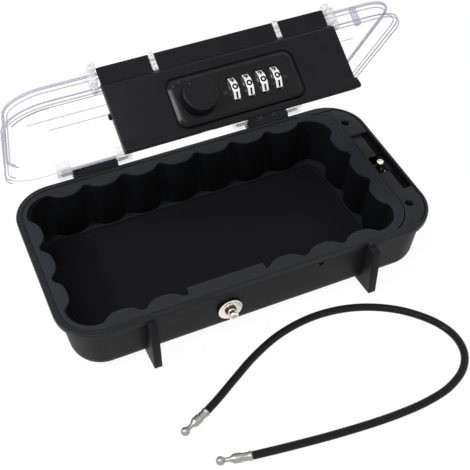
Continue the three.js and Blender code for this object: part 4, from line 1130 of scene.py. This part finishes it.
def lid_shell():
    """The clear lid with its skirt, frosted ribs and hinge knuckles, and its openings for the lock."""
    shell = crown("lid_clear", crown_inset, lid_top, crown_round, lid_z)
    fuse(shell, loft("flange", flange_loops(lid_z, flange_top)))
    hollow_round = crown_round - crown_wall
    cut(shell, crown("hollow", crown_inset + crown_wall, lid_top - crown_wall, hollow_round, lid_z - OVERRUN))
    front_y, wall_y = -(half_depth - crown_inset), -(half_depth - crown_inset - crown_wall / 2)
    cut(shell, box("relief", -end_rib, end_rib, -FAR, front_y, lid_z - OVERRUN, lid_top))
    fuse(
        shell,
        box("skirt", -skirt_x, skirt_x, -skirt_front, -skirt_back, skirt_low, flange_top - 0.1, 0.5),
        box("shelf", -skirt_x, skirt_x, -skirt_front + 0.05, wall_y, lid_z + 0.05, flange_top - 0.15),
    )
    # Name, near and far end in x, front, foot, top and edge round
    end_ribs = [
        ("end_rib_top", 65.4, 69.4, -66.0, 54.6, 58.4, 1.2),
        ("end_rib", 66.4, 71.2, -66.4, 46.6, 55.2, 1.4),
        ("end_rib_low", 67.4, 71.0, -66.8, 42.6, 47.2, 1.2),
    ]
    ribs, loops = [], []
    for side in (-1, 1):
        middle = side * inner_rib
        ribs.append(box("rib", middle - 1.5, middle + 1.5, rib_front, wall_y, 44.9, 55.9, 0.5))
        for name, near, far, front, low, high, edge in end_ribs:
            ribs.append(box(name, *span(side, near, far), front, wall_y, low, high, edge, 4))
        fuse(shell, box("screw_seat", *span(side, 59.2, skirt_x), -64.8, -skirt_back - 0.1, 25.9, 30.5, 0.4))
        for end in (-1, 1):
            near = side * lug_x + end * knuckle_start
            x0, x1 = sorted((near, near + end * knuckle_width))
            loops += [knuckle(x0, x1), box("hinge_post", x0, x1, 60.6, 63.8, lid_z + 0.1, 50.4, 0.6)]
    piece(gather("lid_ribs", ribs), "lid", "clear_plastic", material=frosted)
    piece(gather("lid_knuckles", loops), "lid", "clear_plastic", material=clouded)
    x0, x1, z0, z1 = -7, 29.4, dial_z - slot_half_z, dial_z + slot_half_z
    window = box("window", x0, x1, -FAR, -skirt_back + OVERRUN, z0, z1)
    entry = box("entry", stud_x - entry_half, stud_x + entry_half, -FAR, -wall_top_y + OVERRUN, 0, stud_z)
    entry_top = moved(rod("entry_top", entry_half, 0, 40), facing_front(stud_x, stud_z, -stud_root))
    cut(shell, window, entry, entry_top)
    button_x, _, button_z = middles(*node_box("code_reset_button", closed=True))
    cut(shell, moved(rod("hole", button_bore, 0, 14), facing_front(button_x, button_z, -57)))
    return piece(lid_fit(shell), "lid", "clear_plastic", ["lid_shell"], sharp=40)


def lid_lines():
    """The folds of the clear shell, where its thickness gathers colour, and near-black lines at the wall's front
    foot that are painted dark reflection.
    """
    def fold(name, inset, z, size, keep=lambda x, y: y < 52):
        return outline_bead(name, lambda extra: rim_outline(inset + extra, 40), z, size, keep)

    inner_top = lid_top - crown_wall
    pale = [
        fold("crown_fold", crown_inset + 1.6, lid_top - 1.2, 0.9),
        fold("flange_fold", 0.45, flange_top - 0.45, 0.42),
        fold("back_fold", 0.3, flange_top - 0.3, 0.16, lambda x, y: y > 50),
        fold("foot_fold", crown_inset + 0.3, flange_top + 0.3, 0.35),
        fold("rim_fold", 0.45, lid_z + 0.45, 0.4),
        fold("inner_fold", crown_inset + crown_wall + 1, inner_top - 1, 0.35),
        box("stay", 83.2, 86.8, -61.3, -58.2, 43.2, 54.2, 0.6),
        box("back_bar", -84, -47, 58.3, 58.8, lid_z + 0.1, 44.4, 0.2),
        box("top_rib", -103, 103, -14.6, -14.2, inner_top - 0.3, inner_top + 0.1, 0.1, 1),
        box("top_rib", -90, 90, 2.5, 2.9, inner_top - 0.3, inner_top + 0.1, 0.1, 1),
    ]
    piece(lid_fit(gather("lid_folds", pale)), "lid", "clear_plastic", material=edge_finish)
    foot_inset = crown_inset + crown_wall - 0.5
    foot_y = min(y for x, y in rim_outline(foot_inset, 40))
    # Near-black lines at the wall's front foot: painted dark reflection of the dark inside, where the clear wall
    # is seen edge-on.
    dark = [
        fold("wall_foot", foot_inset, lid_z + 0.5, 0.28, lambda x, y: y < -46 and x < 0),
        box("foot_run", -94, -47, foot_y - 0.14, foot_y + 0.14, lid_z + 0.36, lid_z + 0.64, 0.05, 1),
    ]
    piece(lid_fit(gather("lid_dark_reflection_folds", dark)), "lid", "clear_plastic", material=painted_dark_fold)


def cover_profile():
    """The cover's section: face, shoulder, strip over the lid's edge and finger lip."""
    face, strip = -cover_face, -strip_front
    lip_round, strip_round, hollow_round, shoulder_round = 1.3, 0.67, 1.4, 2.6
    return (
        [(-cover_back, cover_low + 1.25), (-cover_back, shoulder_z), (strip + 1.35, shoulder_z + 1.3)]
        + arc(strip + strip_round, strip_top - strip_round, strip_round, 0, 2, 8)
        + arc(strip - hollow_round, 46.2, hollow_round, 0, -0.7, 6)
        + arc(face + shoulder_round, shoulder_z - shoulder_round, shoulder_round, 1.3, 2, 10)
        + [(face, 12.4), (face - 0.12, 11.7), (face - 0.5, 10.9)]
        + arc(face - 2 + lip_round, cover_low + lip_round, lip_round, 1.9, 3, 8)
    )


def knob_bore():
    radius, length, start = 3.9, 40, -60
    return moved(rod("bore", radius, 0, length), facing_front(knob_x, knob_z, start))


def plate_outline(inset, radius, steps=12):
    """The plate's outline drawn in by an inset."""
    return rounded(
        plate_x - plate_half_x + inset, plate_x + plate_half_x - inset,
        plate_z - plate_half_z + inset, plate_z + plate_half_z - inset, radius, steps,
    )


def lock_cover():
    """The black cover, hollow behind, with its lip and its openings for the plate and the stud."""
    face, strip, side, shell = -cover_face, -strip_front, cover_x - 3.2, 1.8
    cover = prism("lock_housing", cover_profile(), -cover_x, cover_x - right_trim, "YZX", 0.45)
    fuse(cover, box("strip_edge", -cover_x + 2, side, strip, strip + 1, strip_top - 1.2, strip_top, 0.35))
    lip = [(face + 0.6, cover_low + 0.1), (face + 0.6, 11.2), (face - 0.25, 10.9)]
    lip += arc(face - 2 + 1.5, cover_low + 1.6, 1.5, 1.9, 3, 8)
    fuse(cover, prism("lip", lip, -cover_x, cover_x, "YZX", 0.9, 4))
    cut(
        cover,
        box("room", -side, side, face + shell, -50, cover_low + shell, shoulder_z - shell),
        box("apron_room", -skirt_x - GAP, skirt_x + GAP, -skirt_front - GAP, 0, 0, strip_top - 5.4),
    )
    trim, groove, entry_side, rib_side = 1.4, 1.0, 3.4, 1.75
    for end in (-1, 1):
        cut(cover, box("trim", *span(end, cover_x - trim - right_trim / 2 * end, FAR), -66.4, -50, 45.2, 60))
    pocket = prism("pocket", plate_outline(-groove, 6), -FAR, -plate_back + GAP, "XZY")
    window = box("window", -11.1, 35.1, -FAR, -cover_back, 14.5, dial_z + slot_half_z)
    entry = box("entry", stud_x - entry_side, stud_x + entry_side, -67.45, 0, 0, stud_z)
    cut(cover, pocket, window, knob_bore(), entry)
    for x in (-inner_rib, inner_rib):
        cut(cover, box("slot", x - rib_side, x + rib_side, -68.2, 0, 46.1, 60))
    return piece(cover, "lid", "cover_black", ["lock_cover"])


def housing_screw(name, side):
    """A small domed screw at the cover's end."""
    low, high = node_box(name, closed=True)
    _, y, z = middles(low, high)
    tip = side * (cover_x + 1.1) - (right_trim if side > 0 else 0)
    root = low.x if side > 0 else high.x
    length = abs(tip - root)
    shank, head = 0.9, 1.7
    profile = [
        (0, 0), (shank, 0), (shank, length - 2.6), (head, length - 2.4), (head, length - 0.7),
        (head - 0.5, length - 0.15), (0, length),
    ]
    made = lathe(name + "_turned", soften(profile, 0.15), 32)
    cut(made, box("drive", -3, 3, -0.22, 0.22, length - 0.5, length + 1))
    moved(made, shift(root, y, z) @ Matrix.Rotation(side * QUARTER, 4, "Y"))
    return piece(made, "lid", "screw_black", [name])


def lock_plate():
    """The raised plate with its wide soft bevel."""
    section = [
        (0, plate_back), (0, plate_front - 1.75), (0.12, plate_front - 1.55), (0.35, plate_front - 1.38),
        (1.75, plate_front - 0.42), (2.1, plate_front - 0.22), (2.5, plate_front - 0.08), (3.1, plate_front),
    ]

    def upright(outline, forward):
        return [Vector((x, -forward, z)) for x, z in outline]

    plate = loft("lock_face", [
        upright(plate_outline(inset, 5.2 - inset * 0.75, 14), forward) for inset, forward in section
    ])
    slot_section = [(66, 8.7), (plate_back, 7.45), (plate_front, 6.75), (76, 5.4)]
    for place in dial_places:
        left, right = place.x - slot_half_x, place.x + slot_half_x
        cut(plate, loft("slot", [
            upright(rounded(left, right, dial_z - half, dial_z + half, 0.5, 4), forward)
            for forward, half in slot_section
        ]))
    cut(plate, knob_bore())
    relief, end = 2.7, plate_x + plate_half_x - 3.4
    cut(plate, box("relief", -9, end, -plate_front + 0.8, 0, dial_z - relief, dial_z + relief))
    return piece(plate, "lid", "plate_black", ["lock_plate"], sharp=50)


def raised(name, outline, height=0.12):
    """A small relief on the plate's front."""
    return prism(name, outline, -plate_front - height, -plate_front + 0.1, "XZY")


def lock_marks():
    """Index lines beside the dials, and a shut and an open padlock by the knob."""
    line_z, half = dial_z - 0.9, 0.22
    made = []
    for left, right in zip(dial_places, dial_places[1:]):
        middle = (left.x + right.x) / 2
        x0, x1, z0, z1 = middle - 1, middle + 1, line_z - half, line_z + half
        made.append(raised("line", [(x0, z0), (x1, z0), (x1, z1), (x0, z1)]))
    for place, way in ((dial_places[0], -1), (dial_places[-1], 1)):
        near, far = place.x + way * 3.1, place.x + way * 6.2
        neck, z0, z1 = near + way * 1.6, line_z - 1.1, line_z + 1.1
        points = [(near, line_z), (neck, z1), (far, z1), (far, z0), (neck, z0)]
        made.append(raised("arrow", points if way < 0 else points[::-1]))
    shut, ajar = (-31.9, 33.0, 0.0), (-28.6, 34.3, 0.8)
    half_width, bow_outside, bow_inside = 0.9, 0.75, 0.45
    for x, z, lean in (shut, ajar):
        made.append(raised("lock_body", rounded(x - half_width, x + half_width, z - 1.5, z - 0.1, 0.2, 3)))
        bow = arc(x + lean, z + 0.2, bow_outside, 2, 0, 8) + arc(x + lean, z + 0.2, bow_inside, 0, 2, 8)
        made.append(raised("shackle", bow))
    marks = gather("lock_marks", made)
    return piece(marks, "lid", "plate_black", material=mark_finish)


def knob():
    """The round knob with its dished face and a shallow dot."""
    back, front, radius = -knob_box[1].y, -knob_box[0].y, (knob_box[1].x - knob_box[0].x) / 2
    edge, top, crest = 1.1, front - back, radius - 0.45
    profile = [(0, 0), (radius - 0.3, 0), (radius, 0.3), (crest, top - edge)]
    profile += [(crest - inward, top - drop) for drop, inward in rounding(edge, 6)[1:]]
    profile += [(radius - 2.4, top - 0.03), (radius - 4.5, top - 0.09), (3, top - 0.14), (0, top - 0.16)]
    turned = lathe("turning_knob", profile, 96)
    moved(turned, facing_front(knob_x, knob_z, -back))
    dot = lathe("dot", [(0, 0), (0.45, 0.05), (0.65, 0.2), (0.8, 0.5), (0.8, 3), (0, 3)], 24)
    angle, away = math.radians(122), 7.5
    dot_place = facing_front(knob_x + away * math.cos(angle), knob_z + away * math.sin(angle), -front + 0.4)
    moved(dot, dot_place)
    cut(turned, dot)
    speck = lathe("knob_dot", [(0, 0), (0.42, 0), (0.42, 0.06), (0.3, 0.12), (0, 0.14)], 20)
    moved(speck, dot_place)
    piece(speck, "knob", "mark_white", material=dot_grey)
    return piece(turned, "knob", "knob_black", ["knob"])


def digit(mark, height=3.1):
    """A digit as a thin solid that faces +Z, centred on the origin."""
    if mark == "0":
        return lathe("digit_0", [(0.72, -0.1), (1.65, -0.1), (1.65, 0.05), (0.72, 0.05)], 32)
    if mark == "1":
        return box("digit_1", -0.52, 0.52, -2, 1.7, -0.1, 0.05)
    data = bpy.data.curves.new("digit", "FONT")
    data.body = mark
    data.size = height / 0.7
    data.offset = 0.17
    data.extrude = 0.075
    data.resolution_u = 5
    text = bpy.data.objects.new("digit", data)
    bpy.context.scene.collection.objects.link(text)
    bpy.context.view_layer.update()
    mesh = bpy.data.meshes.new_from_object(text.evaluated_get(bpy.context.evaluated_depsgraph_get()))
    bpy.data.objects.remove(text)
    made = bpy.data.objects.new("digit", mesh)
    bpy.context.scene.collection.objects.link(made)
    corners = [Vector(corner) for corner in made.bound_box]
    middle = (corners[0] + corners[6]) / 2
    mesh.transform(shift(-middle.x, -middle.y, -0.025))
    return made


def number_dial(number, place):
    """A ten-sided dial with a digit on each face, nought to the front."""
    body = f"dial_{number}"
    sides = [math.radians(18 + 36 * k) for k in range(10)]
    outline = [(dial_y + dial_radius * math.cos(a), dial_z + dial_radius * math.sin(a)) for a in sides]
    left = place.x - dial_width / 2
    wheel = prism(f"number_dial_{number}", outline, left, left + dial_width, "YZX")
    round_edges(wheel, 0.3, 3, 20)
    cut(wheel, moved(rod("bore", axle_bore, 0, 20, 24), along_x(left - 8, dial_y, dial_z)))
    piece(wheel, body, "dial_silver", [body], sharp=25)
    digits = []
    for value in range(10):
        turn = Matrix.Rotation(math.radians(36 * value), 4, "X")
        seat = shift(place.x, dial_y, dial_z) @ turn @ shift(0, -dial_flat)
        digits.append(moved(digit(str(value)), seat @ Matrix.Rotation(QUARTER, 4, "X")))
    marks = gather(f"dial_digits_{number}", digits)
    piece(marks, body, "mark_white", material=digit_ink)


lid_shell()
lid_lines()
lock_cover()
housing_screw("housing_screw_left", -1)
housing_screw("housing_screw_right", 1)
lock_plate()
lock_marks()
knob()
for number, place in enumerate(dial_places, 1):
    number_dial(number, place)

# Cable and its fittings

cable_line = smooth_route(cable_route, 8)
cable, cable_length = swept("cable_sheath", cable_line, cable_radius)
piece(cable, "cable", "cable_black", ["cable_jacket"], sharp=60)


def fitting(name, start, direction, node):
    """A crimped sleeve with a grooved neck and a round head."""
    radius, length, crimp = 2.75, 12.6, 0.35
    neck, neck_length, ball = 1.3, 2.4, 2.55
    profile = [
        (0, GAP), (radius - 0.3, GAP), (radius, GAP + 0.3), (radius, 1.4), (radius - crimp, 2.2),
        (radius - crimp, 5.6), (radius, 6.3), (radius, 10.1), (neck, length),
    ]
    profile = soften(profile, 0.5)
    middle = length + neck_length + ball
    profile += [(neck, length + neck_length + ball - math.sqrt(ball**2 - neck**2))]
    profile += [
        (ball * math.cos(angle), middle + ball * math.sin(angle))
        for angle in (math.radians(degree) for degree in range(-50, 90, 10))
    ] + [(0, middle + ball)]
    made = lathe(name, profile, 40)
    away = Vector(direction).normalized()
    turn = Vector((0, 0, 1)).rotation_difference(away).to_matrix().to_4x4()
    moved(made, Matrix.Translation(start) @ turn)
    return piece(made, "cable", "nickel", [node], material=crimped)


fitting_a = fitting("cable_fitting_a", cable_route[0], (-13.4, -6.3, 0), "cable_end_a")
fitting_b = fitting("cable_fitting_b", cable_route[-1], (-18.4, 4.3, 0), "cable_end_b")
[point * MM for point in cable_line]

# Floor, world and lamps

def make_floor():
    shape = bmesh.new()
    bmesh.ops.create_grid(shape, x_segments=1, y_segments=1, size=3)
    floor = mesh_object("floor", shape)
    look = Finish("floor_white", (1, 1, 1))
    plain = look.surface(Base_Color=(0.8, 0.8, 0.8), Roughness=0.9, Specular_IOR_Level=0.1)
    white = look.node("Emission", {"Color": (1, 1, 1), "Strength": 1.07})
    mixed = look.node("MixShader", {0: look.seen() * 0.88, 1: plain, 2: white})
    floor.data.materials.append(look.done(mixed))


def make_world():
    world = bpy.data.worlds.new("studio")
    bpy.context.scene.world = world
    look = Nodes(world)
    soft = look.node("Background", {"Strength": 0.47})
    white = look.node("Background", {"Color": (1, 1, 1), "Strength": 1.0})
    mixed = look.node("MixShader", {0: look.seen(), 1: soft, 2: white})
    look.node("OutputWorld", {"Surface": mixed})


def make_lamp(name, place, target, size, power):
    data = bpy.data.lights.new(name, "AREA")
    data.shape = "SQUARE"
    data.size = size
    data.energy = power
    lamp = bpy.data.objects.new(name, data)
    lamp.location = place
    lamp.rotation_euler = (Vector(target) - Vector(place)).to_track_quat("-Z", "Y").to_euler()
    bpy.context.scene.collection.objects.link(lamp)


make_floor()
make_world()
make_lamp("key", (-0.45, -0.45, 1.15), (0, 0, 0), 0.8, 5.8)
make_lamp("spark", (-0.95, -0.08, 0.94), (0, 0, 0.1), 0.15, 5.5)
make_lamp("fill", (0.8, -0.6, 0.9), (0, 0, 0), 1.0, 0.8)

bpy.context.scene.view_settings.view_transform = "Standard"

for name, node in frame["nodes"].items():
    part = next(row for row in frame["record"]["subparts"] if row["node"] == name)
    node.data.materials.clear()
    node.data.materials.append(materials[part["material_slot"]])
